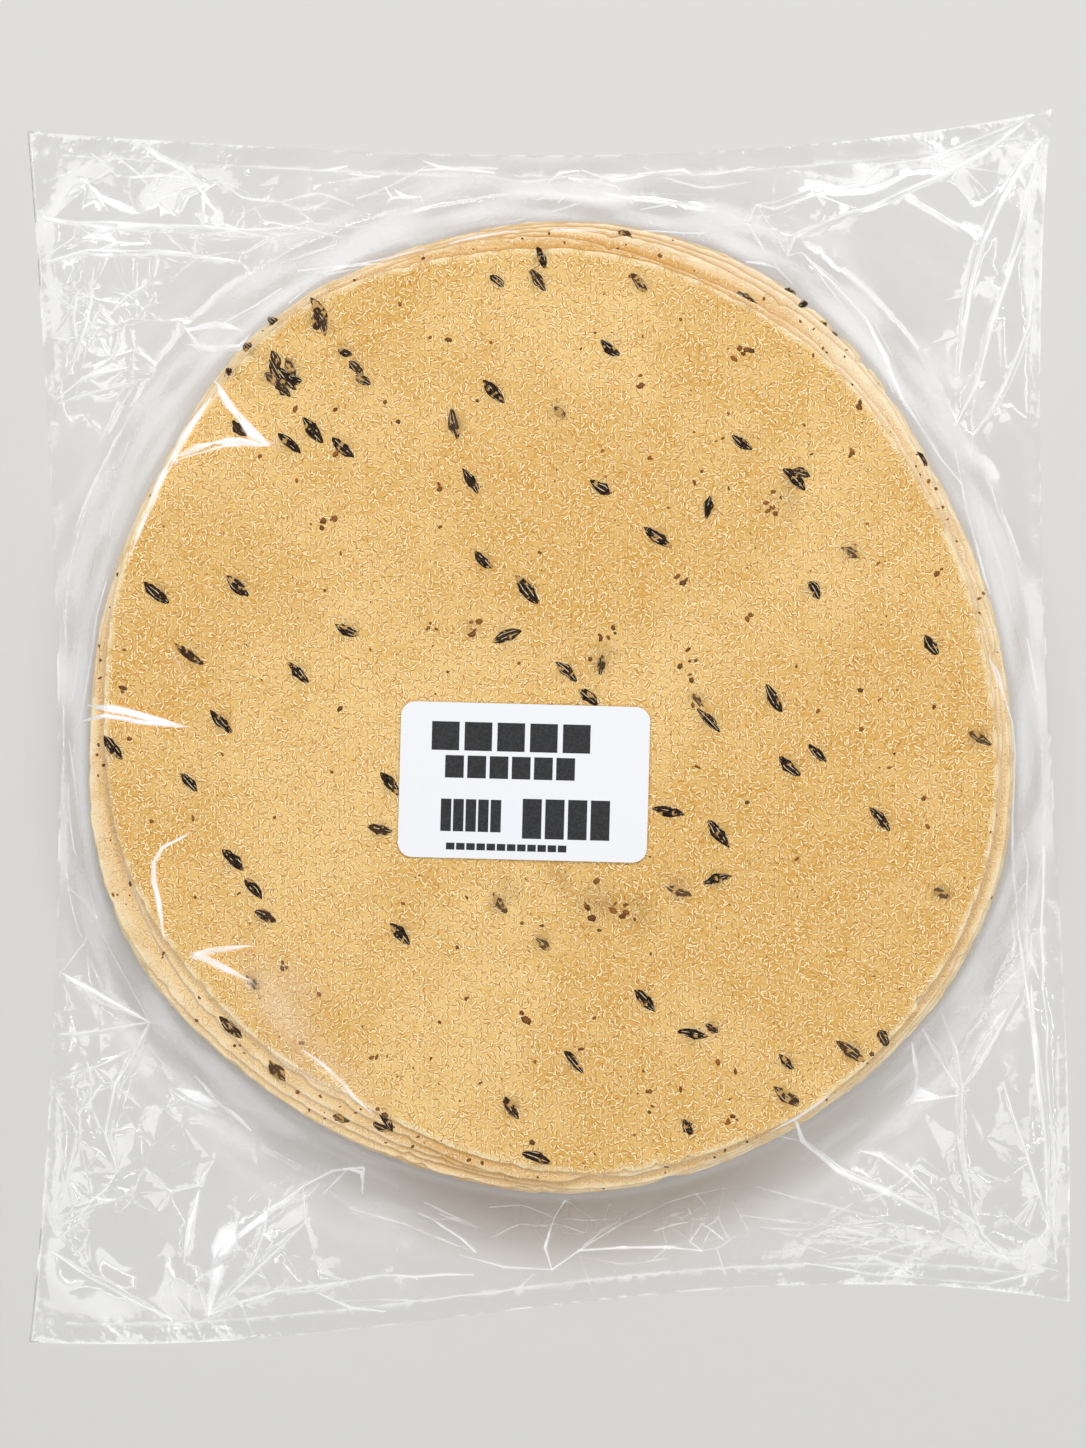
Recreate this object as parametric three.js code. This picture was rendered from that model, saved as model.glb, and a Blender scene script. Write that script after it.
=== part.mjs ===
// A sealed clear bag of cumin papads lying flat, with a small white label on its front.
// Millimetres, +Z up. The origin is on the table, under the middle of the bag's outline,
// and +Y runs towards the end of the bag that is at the top when the label is read.
import * as THREE from "three";

// The bag's outline from above: four corners, and how far each side bows in between them.
// A bow is two handles of a Bezier curve: how far along the side, and how far inwards.
const CORNERS = {
  topLeft: [-85.2, 97.5],
  topRight: [82.8, 101.1],
  bottomRight: [85.7, -94.5],
  bottomLeft: [-84.9, -101.1],
};
const SIDES = [
  { from: "topLeft", to: "topRight", steps: 34, bow: [[0.33, 6.0], [0.7, 10.5]] },
  { from: "topRight", to: "bottomRight", steps: 38, bow: [[0.33, 7.5], [0.67, -1.5]] },
  { from: "bottomRight", to: "bottomLeft", steps: 34, bow: [[0.33, 13.0], [0.67, -5.0]] },
  { from: "bottomLeft", to: "topLeft", steps: 38, bow: [[0.33, 8.0], [0.67, 6.0]] },
];

// The stack of papads inside. The top one is a hand-rolled round, a little oval.
const STACK_HEIGHT = 13.0;
const TOP_CENTRE = [0.6, 2.3];
const TOP_RADIUS = 73.0;
const TOP_OVAL = { amount: -2.2, turn: 32 };
const TOP_LEAN = { amount: 0.7, turn: 300 };

// The papads just under it have slipped sideways, so their rims show as ledges.
// Each has the way it slipped in degrees, how far, and its radius.
const LEDGE_DROP = 0.62;
const LEDGES = [
  { turn: 62, slip: 1.6, radius: 73.4 },
  { turn: 212, slip: 2.2, radius: 73.4 },
  { turn: 82, slip: 3.0, radius: 74.2 },
  { turn: 198, slip: 3.4, radius: 74.0 },
  { turn: 318, slip: 2.8, radius: 74.6 },
  { turn: 74, slip: 4.8, radius: 74.4 },
  { turn: 214, slip: 4.4, radius: 74.0 },
];
const LEDGE_TREAD = 0.05;
const LEDGE_FALL = 0.08;
const RIM_ROUND = 0.9;
const RIM_DIP = 0.22;
const INNER_RINGS = [0.34, 0.68];

// The film stretches from the lowest ledge down to the empty margin of the bag.
const SLOPE_REACH = 9.5;
const SLOPE_SHARE = 0.58;
const SLOPE_CURVE = 1.7;
const SLOPE_RINGS = [0.2, 0.45, 0.72, 1];
const FLAT_SHARE = 0.93;
const FOOT_LIFT = 0.5;

// The empty margin: both films with trapped air between them, and a welded band at each end.
const FILM_PAIR = 0.9;
const MARGIN_PUFF = 1.5;
const EDGE_LIFT = 2.6;
const CORNER_LIFT = 0.35;
const CORNER_REACH = 42;
const MARGIN_RINGS = [0.25, 0.5, 0.75, 1];
const UNDER_RINGS = [1, 0.66, 0.33, 0];
const SEAL_WIDTH = 3.6;
const SEAL_PRESS = 0.45;
const SEAL_PRESS_AT = 0.8;

// A margin narrower than these has lower puffs and creases, down to a least share of them.
const FULL_PUFF = { margin: 30, least: 0.3 };
const FULL_CREASE = { margin: 40, least: 0.25 };
// A crease is highest in the middle of the margin, and starts and ends a little above nothing.
const CREASE_START = 0.1;
const CREASE_SPAN = 0.85;

// Main creases of the margin: turn from +X about the stack's middle, height, half width in degrees.
const CREASES = [
  [47, 2.3, 4.5], [39, 1.6, 3.6], [55, 1.9, 3.8], [31, 1.1, 3.4], [66, 1.2, 4.2],
  [129, 1.7, 4.0], [138, 2.0, 3.8], [120, 1.2, 3.6], [148, 1.0, 3.4],
  [221, 1.8, 4.0], [231, 2.4, 4.4], [240, 1.5, 3.6], [212, 1.1, 3.4], [252, 0.9, 4.0],
  [308, 1.9, 4.0], [316, 1.7, 3.6], [299, 1.3, 3.6], [325, 1.2, 3.4], [287, 0.9, 4.0],
];

// The label: a white rectangle with round corners, turned a little clockwise.
const LABEL_SIZE = [40.0, 25.0];
const LABEL_CORNER = 2.3;
const LABEL_THICKNESS = 0.2;
const LABEL_PLACE = [-3.95, -8.9];
const LABEL_TURN = -1.5;
const LABEL_GAP = 0.1;

const FILM_OVER_STACK = 0.2;
const TOP = STACK_HEIGHT + FILM_OVER_STACK;

const radians = (degrees) => (degrees * Math.PI) / 180;
const clamp = (value, low, high) => Math.min(high, Math.max(low, value));
const mix = (a, b, share) => a + (b - a) * share;
const smooth = (share) => share * share * (3 - 2 * share);

// One side of the outline as a Bezier curve, bowed towards the stack.
function sideCurve({ from, to, bow }) {
  const start = new THREE.Vector2(...CORNERS[from]);
  const end = new THREE.Vector2(...CORNERS[to]);
  const along = end.clone().sub(start);
  const inward = new THREE.Vector2(along.y, -along.x).normalize();
  const handle = ([share, depth]) =>
    start.clone().addScaledVector(along, share).addScaledVector(inward, depth);
  return new THREE.CubicBezierCurve(start, handle(bow[0]), handle(bow[1]), end);
}

// The whole outline, clockwise from the top left corner, moved so that its box is centred.
function bagOutline() {
  const points = SIDES.flatMap((side) => sideCurve(side).getPoints(side.steps).slice(0, -1));
  const middle = new THREE.Box2().setFromPoints(points).getCenter(new THREE.Vector2());
  return points.map((point) => point.sub(middle));
}

// How far the top papad's rim is from its centre, at a turn.
function topRim(turn) {
  const oval = TOP_OVAL.amount * Math.cos(2 * (turn - radians(TOP_OVAL.turn)));
  const lean = TOP_LEAN.amount * Math.cos(turn - radians(TOP_LEAN.turn));
  return TOP_RADIUS + oval + lean;
}

// How far a slipped papad's rim is from the top one's centre, at a turn.
function slippedRim({ turn, slip, radius }, at) {
  const between = at - radians(turn);
  return slip * Math.cos(between) + Math.sqrt(radius ** 2 - (slip * Math.sin(between)) ** 2);
}

// The rings over the stack on one spoke: across the top papad, over its rim, down the ledges.
function stackProfile(turn) {
  const rim = topRim(turn);
  const rings = INNER_RINGS.map((share) => [rim * share, TOP]);
  rings.push([rim - RIM_ROUND, TOP], [rim, TOP - RIM_DIP]);
  let reach = rim;
  LEDGES.forEach((papad, index) => {
    const height = TOP - LEDGE_DROP * (index + 1);
    const tread = reach + LEDGE_TREAD;
    reach = Math.max(tread + LEDGE_TREAD, slippedRim(papad, turn));
    rings.push([tread, height], [reach, height - LEDGE_FALL]);
  });
  return rings;
}

// The smallest angle between two turns, from 0 to half a circle.
function turnBetween(a, b) {
  const whole = 2 * Math.PI;
  const between = THREE.MathUtils.euclideanModulo(a - b, whole);
  return Math.min(between, whole - between);
}

// The height that the creases add on a spoke, by its turn.
function creaseHeight(turn) {
  let height = 0;
  for (const [at, rise, halfWidth] of CREASES) {
    const away = turnBetween(turn, radians(at));
    height = Math.max(height, rise * (1 - away / radians(halfWidth)));
  }
  return height;
}

// How much of its full height a puff or crease has in a margin of this width.
const shareFor = (full, margin) => clamp(margin / full.margin, full.least, 1);

// The lift of the bag's edge above the table, less towards a corner, where it lies down.
function edgeLift(point) {
  const nearest = Math.min(
    ...Object.values(CORNERS).map(([x, y]) => Math.hypot(point.x - x, point.y - y)),
  );
  return mix(CORNER_LIFT, EDGE_LIFT, smooth(clamp(nearest / CORNER_REACH, 0, 1)));
}

// Everything that one spoke needs: its rings from the middle outwards over the top, round
// the edge, and back in along the underside.
function spokeRings(point) {
  const away = point.clone().sub(new THREE.Vector2(...TOP_CENTRE));
  const edge = away.length();
  const turn = Math.atan2(away.y, away.x);
  const stack = stackProfile(turn);
  const [wall, wallHeight] = stack[stack.length - 1];
  const margin = edge - wall;
  const slope = Math.min(SLOPE_REACH, margin * SLOPE_SHARE);
  const foot = wall + slope;
  const sealStart = edge - SEAL_WIDTH;
  const lift = edgeLift(point);
  const puffHeight = MARGIN_PUFF * shareFor(FULL_PUFF, margin);
  const foldHeight = creaseHeight(turn) * shareFor(FULL_CREASE, margin);

  const under = (radius) => mix(FOOT_LIFT, lift, smooth(clamp((radius - wall) / margin, 0, 1)));
  const marginTop = (radius) => {
    const share = clamp((radius - foot) / (edge - foot), 0, 1);
    const puff = puffHeight * Math.sin(Math.PI * share);
    const fold = foldHeight * Math.sin(Math.PI * (share * CREASE_SPAN + CREASE_START));
    return under(radius) + FILM_PAIR + puff + fold;
  };
  const slopeRing = (share) => {
    const height = mix(marginTop(foot), wallHeight, (1 - share) ** SLOPE_CURVE);
    return [wall + slope * share, height];
  };
  const marginRing = (share) => {
    const radius = mix(foot, sealStart, share);
    return [radius, marginTop(radius)];
  };
  const underRing = (share) => {
    const radius = mix(foot, edge, share);
    return [radius, under(radius)];
  };
  const rings = [
    ...stack,
    ...SLOPE_RINGS.map(slopeRing),
    ...MARGIN_RINGS.map(marginRing),
    [edge - SEAL_WIDTH * SEAL_PRESS_AT, marginTop(sealStart) - SEAL_PRESS],
    [edge, marginTop(edge)],
    ...UNDER_RINGS.map(underRing),
    [wall * FLAT_SHARE, 0],
  ];
  const direction = away.divideScalar(edge);
  return rings.map(([radius, height]) => [
    TOP_CENTRE[0] + direction.x * radius,
    TOP_CENTRE[1] + direction.y * radius,
    height,
  ]);
}

// The filled bag as one closed skin: a point over the middle, the rings, a point under it.
function bagGeometry() {
  const spokes = bagOutline().map(spokeRings);
  const count = spokes.length;
  const ringCount = spokes[0].length;
  const positions = [TOP_CENTRE[0], TOP_CENTRE[1], TOP];
  for (let ring = 0; ring < ringCount; ring += 1) {
    for (const spoke of spokes) positions.push(...spoke[ring]);
  }
  positions.push(TOP_CENTRE[0], TOP_CENTRE[1], 0);

  const corner = (ring, spoke) => 1 + ring * count + (spoke % count);
  const last = positions.length / 3 - 1;
  const triangles = [];
  for (let spoke = 0; spoke < count; spoke += 1) {
    triangles.push(0, corner(0, spoke + 1), corner(0, spoke));
    for (let ring = 0; ring < ringCount - 1; ring += 1) {
      const inner = [corner(ring, spoke), corner(ring, spoke + 1)];
      const outer = [corner(ring + 1, spoke), corner(ring + 1, spoke + 1)];
      triangles.push(inner[0], inner[1], outer[1], inner[0], outer[1], outer[0]);
    }
    triangles.push(last, corner(ringCount - 1, spoke), corner(ringCount - 1, spoke + 1));
  }
  const geometry = new THREE.BufferGeometry();
  geometry.setAttribute("position", new THREE.Float32BufferAttribute(positions, 3));
  geometry.setIndex(triangles);
  geometry.computeVertexNormals();
  return geometry;
}

// The label's outline, centred, drawn anticlockwise from the bottom left.
function labelShape() {
  const [halfWidth, halfHeight] = LABEL_SIZE.map((size) => size / 2);
  const centreX = halfWidth - LABEL_CORNER;
  const centreY = halfHeight - LABEL_CORNER;
  const shape = new THREE.Shape();
  const quarter = Math.PI / 2;
  shape.absarc(centreX, -centreY, LABEL_CORNER, -quarter, 0);
  shape.absarc(centreX, centreY, LABEL_CORNER, 0, quarter);
  shape.absarc(-centreX, centreY, LABEL_CORNER, quarter, 2 * quarter);
  shape.absarc(-centreX, -centreY, LABEL_CORNER, 2 * quarter, 3 * quarter);
  return shape;
}

function makeBag() {
  const material = new THREE.MeshStandardMaterial({ color: 0xe6c48c, roughness: 0.35, metalness: 0 });
  const bag = new THREE.Mesh(bagGeometry(), material);
  bag.name = "bag";
  return bag;
}

function makeLabel() {
  const settings = { depth: LABEL_THICKNESS, bevelEnabled: false, curveSegments: 6 };
  const material = new THREE.MeshStandardMaterial({ color: 0xf5f6f8, roughness: 0.5, metalness: 0 });
  const label = new THREE.Mesh(new THREE.ExtrudeGeometry(labelShape(), settings), material);
  label.name = "label";
  label.position.set(LABEL_PLACE[0], LABEL_PLACE[1], TOP + LABEL_GAP);
  label.rotation.z = radians(LABEL_TURN);
  return label;
}

const pack = new THREE.Group();
pack.add(makeBag(), makeLabel());

export default pack;
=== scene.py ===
# %% [markdown]
# A sealed clear bag of cumin papads lies on its back on a table, seen from straight above.
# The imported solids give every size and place. Both are dressed here: the bag becomes a
# crisp film with the papads, seeds and flecks inside it, and the label gets a plain print.

# %% Load the frame
import math
import random

import bmesh
import bpy
import numpy as np
from mathutils import Matrix, Vector, noise
from mathutils.bvhtree import BVHTree
from mathutils.geometry import delaunay_2d_cdt, interpolate_bezier


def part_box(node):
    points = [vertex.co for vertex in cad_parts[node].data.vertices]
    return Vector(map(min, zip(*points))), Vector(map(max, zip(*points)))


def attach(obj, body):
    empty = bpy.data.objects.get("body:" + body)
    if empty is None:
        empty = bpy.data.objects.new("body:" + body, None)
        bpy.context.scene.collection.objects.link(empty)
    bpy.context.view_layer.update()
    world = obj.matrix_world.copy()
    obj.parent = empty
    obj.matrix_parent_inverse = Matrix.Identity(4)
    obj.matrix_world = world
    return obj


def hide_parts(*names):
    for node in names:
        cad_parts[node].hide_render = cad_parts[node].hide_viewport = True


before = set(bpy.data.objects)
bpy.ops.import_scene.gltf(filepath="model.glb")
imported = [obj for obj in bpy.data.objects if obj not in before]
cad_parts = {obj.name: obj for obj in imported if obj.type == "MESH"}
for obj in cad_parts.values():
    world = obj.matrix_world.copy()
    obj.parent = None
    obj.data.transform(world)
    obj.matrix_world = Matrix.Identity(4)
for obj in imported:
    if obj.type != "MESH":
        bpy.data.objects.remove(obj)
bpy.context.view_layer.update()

# %% [markdown]
# Everything is worked out in millimetres and becomes metres when a mesh is finished.
# Places were read from the photograph, which is 1086 by 1448 pixels. What stands nearer the
# camera looks larger, so a pixel becomes a place by the scale at that place's own height.

# %% Photograph pixels to places
MM = 0.001
PHOTO_CENTRE = (543.0, 724.0)
PHOTO_LONG_SIDE = 1448.0
CAMERA_PLACE = (-0.9, 0.4)
CAMERA_HEIGHT = 600.0
PIXELS_PER_MM_ON_TABLE = 6.09


def from_photo(across, down, height):
    """The place in mm of a photograph pixel, for a point at this height above the table."""
    scale = PIXELS_PER_MM_ON_TABLE * CAMERA_HEIGHT / (CAMERA_HEIGHT - height)
    x = (across - PHOTO_CENTRE[0]) / scale + CAMERA_PLACE[0]
    y = (PHOTO_CENTRE[1] - down) / scale + CAMERA_PLACE[1]
    return x, y


print("a pixel is", round(1 / PIXELS_PER_MM_ON_TABLE, 3), "mm on the table")

# %% [markdown]
# Shader maths reads best as plain expressions. A Wire holds one output socket, and adding,
# multiplying or comparing wires places the Math nodes. Every other node comes from one
# method, which takes the node's type, its settings and the values or wires for its sockets.


# %% A small language for materials
class Wire:
    """One output socket of a material, with the arithmetic that Math nodes give."""

    def __init__(self, finish, socket):
        self.finish = finish
        self.socket = socket

    def math(self, operation, *others):
        return self.finish.add("Math", {"operation": operation}, dict(enumerate((self, *others))))

    def __add__(self, other):
        return self.math("ADD", other)

    __radd__ = __add__

    def __sub__(self, other):
        return self.math("SUBTRACT", other)

    def __rsub__(self, other):
        return self.finish.add("Math", {"operation": "SUBTRACT"}, {0: other, 1: self})

    def __mul__(self, other):
        return self.math("MULTIPLY", other)

    __rmul__ = __mul__

    def __pow__(self, other):
        return self.math("POWER", other)

    def __abs__(self):
        return self.math("ABSOLUTE")

    def between(self, low, high):
        """0 at low, 1 at high, smooth in between and held beyond."""
        sockets = {"Value": self, "From Min": low, "From Max": high}
        return self.finish.add("MapRange", {"interpolation_type": "SMOOTHSTEP"}, sockets)


class Finish:
    """A material while it is being made."""

    def __init__(self, name):
        self.material = bpy.data.materials.new(name)
        self.material.use_nodes = True
        self.tree = self.material.node_tree
        self.tree.nodes.clear()

    def add(self, kind, settings, sockets, output=0):
        node = self.tree.nodes.new("ShaderNode" + kind)
        for name, value in settings.items():
            setattr(node, name, value)
        for name, value in sockets.items():
            if isinstance(value, Wire):
                self.tree.links.new(value.socket, node.inputs[name])
            else:
                node.inputs[name].default_value = value
        return Wire(self, node.outputs[output]) if len(node.outputs) else None

    def blend(self, factor, first, second):
        """One colour turning into another."""
        return self.add("Mix", {"data_type": "RGBA"}, {0: factor, 6: first, 7: second}, output=2)

    def place(self):
        """Object coordinates in millimetres."""
        metres = self.add("TexCoord", {}, {}, output="Object")
        return self.add("VectorMath", {"operation": "SCALE"}, {0: metres, "Scale": 1 / MM})

    def noise(self, place, size, detail=2.0):
        """Soft noise around a half, with lumps of about this size in mm."""
        return self.add("TexNoise", {}, {"Vector": place, "Scale": 1 / size, "Detail": detail})

    def part(self, vector, axis):
        """One part of a vector: 0 for X, 1 for Y, 2 for Z."""
        return self.add("SeparateXYZ", {}, {"Vector": vector}, output=axis)

    def attribute(self, name):
        return self.add("Attribute", {"attribute_name": name}, {}, output="Fac")

    def bump(self, height, distance, strength):
        """A relief this deep in metres, for the Normal socket."""
        return self.add("Bump", {}, {"Height": height, "Distance": distance, "Strength": strength})

    def done(self, sockets):
        """The finished material: one Principled surface with these sockets."""
        surface = self.add("BsdfPrincipled", {}, sockets)
        self.add("OutputMaterial", {}, {"Surface": surface})
        return self.material


def colour(red, green, blue):
    """A screen colour of 0 to 255 parts as the linear colour that shaders take."""
    parts = [part / 255 for part in (red, green, blue)]
    linear = [part / 12.92 if part <= 0.04045 else ((part + 0.055) / 1.055) ** 2.4 for part in parts]
    return (*linear, 1.0)


print("materials are written as expressions")

# %% [markdown]
# The bag is a flat tube of film, welded across both ends. Its outline from above is four
# corners joined by bowed sides, as in the solids. One Bezier curve makes each side.

# %% The bag's outline
CORNERS = {
    "top left": (-85.2, 97.5),
    "top right": (82.8, 101.1),
    "bottom right": (85.7, -94.5),
    "bottom left": (-84.9, -101.1),
}
SIDES = {
    "top": ("top left", "top right", ((0.33, 6.0), (0.70, 10.5))),
    "right": ("top right", "bottom right", ((0.33, 7.5), (0.67, -1.5))),
    "bottom": ("bottom right", "bottom left", ((0.33, 13.0), (0.67, -5.0))),
    "left": ("bottom left", "top left", ((0.33, 8.0), (0.67, 6.0))),
}
SIDE_STEPS = 110


def side_points(name):
    """The points of one side, from one corner up to the next, as rows of x and y."""
    from_corner, to_corner, bow = SIDES[name]
    start = Vector(CORNERS[from_corner])
    end = Vector(CORNERS[to_corner])
    along = end - start
    inward = Vector((along.y, -along.x)).normalized()
    handles = [start + along * share + inward * depth for share, depth in bow]
    return np.array(interpolate_bezier(start, *handles, end, SIDE_STEPS + 1))[:, :2]


side_lines = {name: side_points(name) for name in SIDES}
every_point = np.concatenate(list(side_lines.values()))
box_middle = (every_point.min(axis=0) + every_point.max(axis=0)) / 2
side_lines = {name: line - box_middle for name, line in side_lines.items()}
outline = np.concatenate([line[:-1] for line in side_lines.values()])
print("the outline has", len(outline), "points and spans", np.ptp(outline, axis=0).round(1), "mm")

# %% [markdown]
# The stack is 22 papads. Five rims were measured every 15 degrees round the stack: that of
# the top papad, the next three, which show as ledges, and the outermost one. Where a ledge
# doesn't show, its rim lies just under the papad above. Adding a few waves per turn joins
# the measurements smoothly. Four papads end close to the outermost rim, and the rest hide.

# %% The stack's rims
FILM_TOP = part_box("bag")[1][2] / MM
FILM_OVER_STACK = 0.2
STACK_TOP = FILM_TOP - FILM_OVER_STACK
TOP_CENTRE = (0.6, 2.3)
TOP_RADIUS = 73.0
TOP_REACHES = [
    70.9, 70.0, 69.6, 71.1, 72.1, 73.7, 74.5, 75.4, 76.3, 75.1, 73.5, 72.8,
    72.1, 72.6, 72.4, 70.9, 70.3, 71.4, 74.0, 75.1, 75.7, 75.6, 74.9, 73.5,
]
LEDGE_REACHES = [
    [
        71.6, 70.3, 70.2, 71.9, 73.1, 74.2, 76.5, 76.5, 76.0, 74.8, 73.2, 72.5,
        71.8, 72.3, 72.1, 71.0, 71.5, 72.8, 75.9, 75.3, 75.4, 75.3, 74.6, 73.2,
    ],
    [
        72.4, 70.8, 71.2, 74.2, 75.3, 77.2, 77.2, 76.9, 77.0, 75.7, 73.6, 73.5,
        72.0, 72.5, 73.6, 73.7, 73.5, 74.0, 75.3, 75.0, 75.5, 75.4, 74.7, 73.3,
    ],
    [
        73.0, 71.9, 71.7, 74.8, 76.6, 78.2, 78.0, 77.6, 77.7, 76.1, 73.9, 73.8,
        74.3, 76.3, 77.4, 75.7, 75.1, 75.1, 76.7, 77.1, 76.7, 77.1, 76.8, 76.0,
    ],
]
OUTER_REACHES = [
    73.9, 73.1, 72.8, 75.4, 78.2, 79.5, 79.3, 78.4, 78.3, 76.6, 74.6, 74.4,
    74.8, 76.8, 78.0, 77.1, 76.4, 76.9, 77.7, 78.1, 77.6, 78.1, 77.6, 76.8,
]
WAVES_PER_TURN = 10
LEDGE_INSIDE_OUTER_RIM = 0.15
INSIDE_OUTER_RIM = [0.45, 0.25, 0.10, 0.0]
SHOWN_PAPADS = 1 + len(LEDGE_REACHES) + len(INSIDE_OUTER_RIM)
PAPAD_COUNT = 22
PAPAD_THICK = 0.52
PAPAD_STEP = 0.59
hidden_draw = random.Random(42)
HIDDEN_SHARES = [hidden_draw.uniform(0.2, 0.9) for _ in range(PAPAD_COUNT - SHOWN_PAPADS)]


def measured_rim(reaches, turn):
    """How far a measured rim is from the middle of the stack, at a turn in radians."""
    count = len(reaches)
    waves = np.fft.rfft(reaches) / count
    found = waves[0].real
    for number in range(1, min(WAVES_PER_TURN + 1, count // 2)):
        found = found + 2 * np.real(waves[number] * np.exp(1j * number * turn))
    return found


def papad_rim(index, turn):
    """How far the rim of a papad is from the middle of the stack; the top papad is number 0."""
    top = measured_rim(TOP_REACHES, turn)
    if index == 0:
        return top
    outer = measured_rim(OUTER_REACHES, turn)
    if index <= len(LEDGE_REACHES):
        ledge = measured_rim(LEDGE_REACHES[index - 1], turn)
        return np.minimum(ledge, outer - LEDGE_INSIDE_OUTER_RIM)
    if index < SHOWN_PAPADS:
        return outer - INSIDE_OUTER_RIM[index - len(LEDGE_REACHES) - 1]
    return top + (outer - top) * HIDDEN_SHARES[index - SHOWN_PAPADS]


def smooth(share):
    """0 below 0, 1 above 1, and an even curve in between."""
    held = np.clip(share, 0, 1)
    return held * held * (3 - 2 * held)


def from_centre(x, y):
    """The turn and the distance of a place from the middle of the stack."""
    return np.arctan2(y - TOP_CENTRE[1], x - TOP_CENTRE[0]), np.hypot(x - TOP_CENTRE[0], y - TOP_CENTRE[1])


def place_at(turn, reach):
    """The place at one turn and one distance from the middle of the stack."""
    return TOP_CENTRE[0] + reach * math.cos(turn), TOP_CENTRE[1] + reach * math.sin(turn)


def places_at(turns, reaches):
    """The same for many turns and distances, as rows of x and y."""
    x = TOP_CENTRE[0] + reaches * np.cos(turns)
    y = TOP_CENTRE[1] + reaches * np.sin(turns)
    return np.stack((x, y), axis=1)


def round_noise(turn, fineness, salt):
    """Noise that runs round the stack and meets itself after a full turn."""
    return noise.noise(Vector((fineness * math.cos(turn), fineness * math.sin(turn), salt)))


WAVE_SIZE = 46.0
WAVE_HEIGHT = 0.32
WAVE_MIDDLE = 0.25
LABEL_FLAT_TO = 20.0
LABEL_FLAT_REACH = 34.0
WAVE_LOST = 0.8
label_box = [[value / MM for value in corner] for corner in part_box("label")]
label_middle = [(low + high) / 2 for low, high in zip(*label_box)]


def stack_wave(x, y):
    """The gentle wave that all the papads share, and that is flat under the label."""
    away = math.hypot(x - label_middle[0], y - label_middle[1])
    lump = noise.noise(Vector((x / WAVE_SIZE, y / WAVE_SIZE, 3.7)))
    return WAVE_HEIGHT * (lump - WAVE_MIDDLE) * float(smooth((away - LABEL_FLAT_TO) / LABEL_FLAT_REACH))


def wave_share(index):
    """How much of that wave a papad has: all of it on top, and less further down."""
    return 1 - WAVE_LOST * index / PAPAD_COUNT


print("the stack is", round(STACK_TOP, 2), "mm high with", PAPAD_COUNT, "papads")

# %% [markdown]
# Distances to lines steer the seals, the folds and the creases, so one helper measures them
# for all points at once. The bag's edge is known by its distance from the middle of the stack
# and by its lift off the table, at every turn.


# %% Distance to lines
def distance_to_line(points, line):
    """How far each point is from a line of joined stretches."""
    nearest = np.full(len(points), np.inf)
    for start, end in zip(line[:-1], line[1:]):
        along = end - start
        share = np.clip(((points - start) @ along) / max(along @ along, 1e-9), 0, 1)
        gap = points - start - share[:, None] * along
        nearest = np.minimum(nearest, np.hypot(gap[:, 0], gap[:, 1]))
    return nearest


def to_the_right(along):
    """The direction a quarter turn to the right of each stretch, one unit long."""
    return np.stack((along[:, 1], -along[:, 0]), axis=1) / np.hypot(along[:, 0], along[:, 1])[:, None]


edge_turns, edge_radii = from_centre(outline[:, 0], outline[:, 1])
turn_order = np.argsort(edge_turns)
edge_turns = edge_turns[turn_order]
edge_radii = edge_radii[turn_order]
corner_places = np.array(list(CORNERS.values())) - box_middle
to_corners = outline[turn_order][:, None, :] - corner_places[None, :, :]
nearest_corner = np.min(np.hypot(to_corners[:, :, 0], to_corners[:, :, 1]), axis=1)
CORNER_LIFT = 0.35
EDGE_LIFT = 2.6
CORNER_REACH = 42.0
edge_lifts = CORNER_LIFT + (EDGE_LIFT - CORNER_LIFT) * smooth(nearest_corner / CORNER_REACH)


def edge_reach(turn):
    """How far the bag's edge is from the middle of the stack."""
    return np.interp(turn, edge_turns, edge_radii, period=2 * math.pi)


print("the bag's edge is lifted by", edge_lifts.min().round(2), "to", edge_lifts.max().round(2), "mm")

# %% [markdown]
# The film first gets a calm shape, as if it had no creases. It rests on the top papad, spans
# the ledges with a taut slope, falls to the empty margin, and there the front and back sheets
# lie apart by trapped air until they meet at the folds and welds.

# %% The calm shape of the film
LEDGE_DROP = 0.62
RAMP = 1.1
SPAN_CURVE = 1.25
SLOPE_REACH = 10.0
SLOPE_VARIES = 0.8
SLOPE_FINENESS = 2.4
SLOPE_SHARE = 0.62
SLOPE_CURVE = 2.0
FOOT_LIFT = 0.5
UNDER_STACK = 0.04
UNDER_RISES_FROM = 0.93
UNDER_RISES_OVER = 0.07
FILM_PAIR = 0.9
MARGIN_PUFF = 1.3
FULL_PUFF_MARGIN = 30.0
LEAST_PUFF = 0.3
SEAL_WIDTH = 3.4
WELD_RISE = 11.0
WELD_RISE_VARIES = 0.7
WELD_RISE_SIZE = 9.0
FOLD_WIDTH = 8.0
SHEET_GAP = 0.06
BEND = 0.4
MARGIN_HEIGHT = 4.0

table_turns = np.linspace(-math.pi, math.pi, 361)
slope_noise = np.array([round_noise(turn, SLOPE_FINENESS, 8.1) for turn in table_turns])
slope_reaches = SLOPE_REACH * (1 + SLOPE_VARIES * slope_noise)


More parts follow.
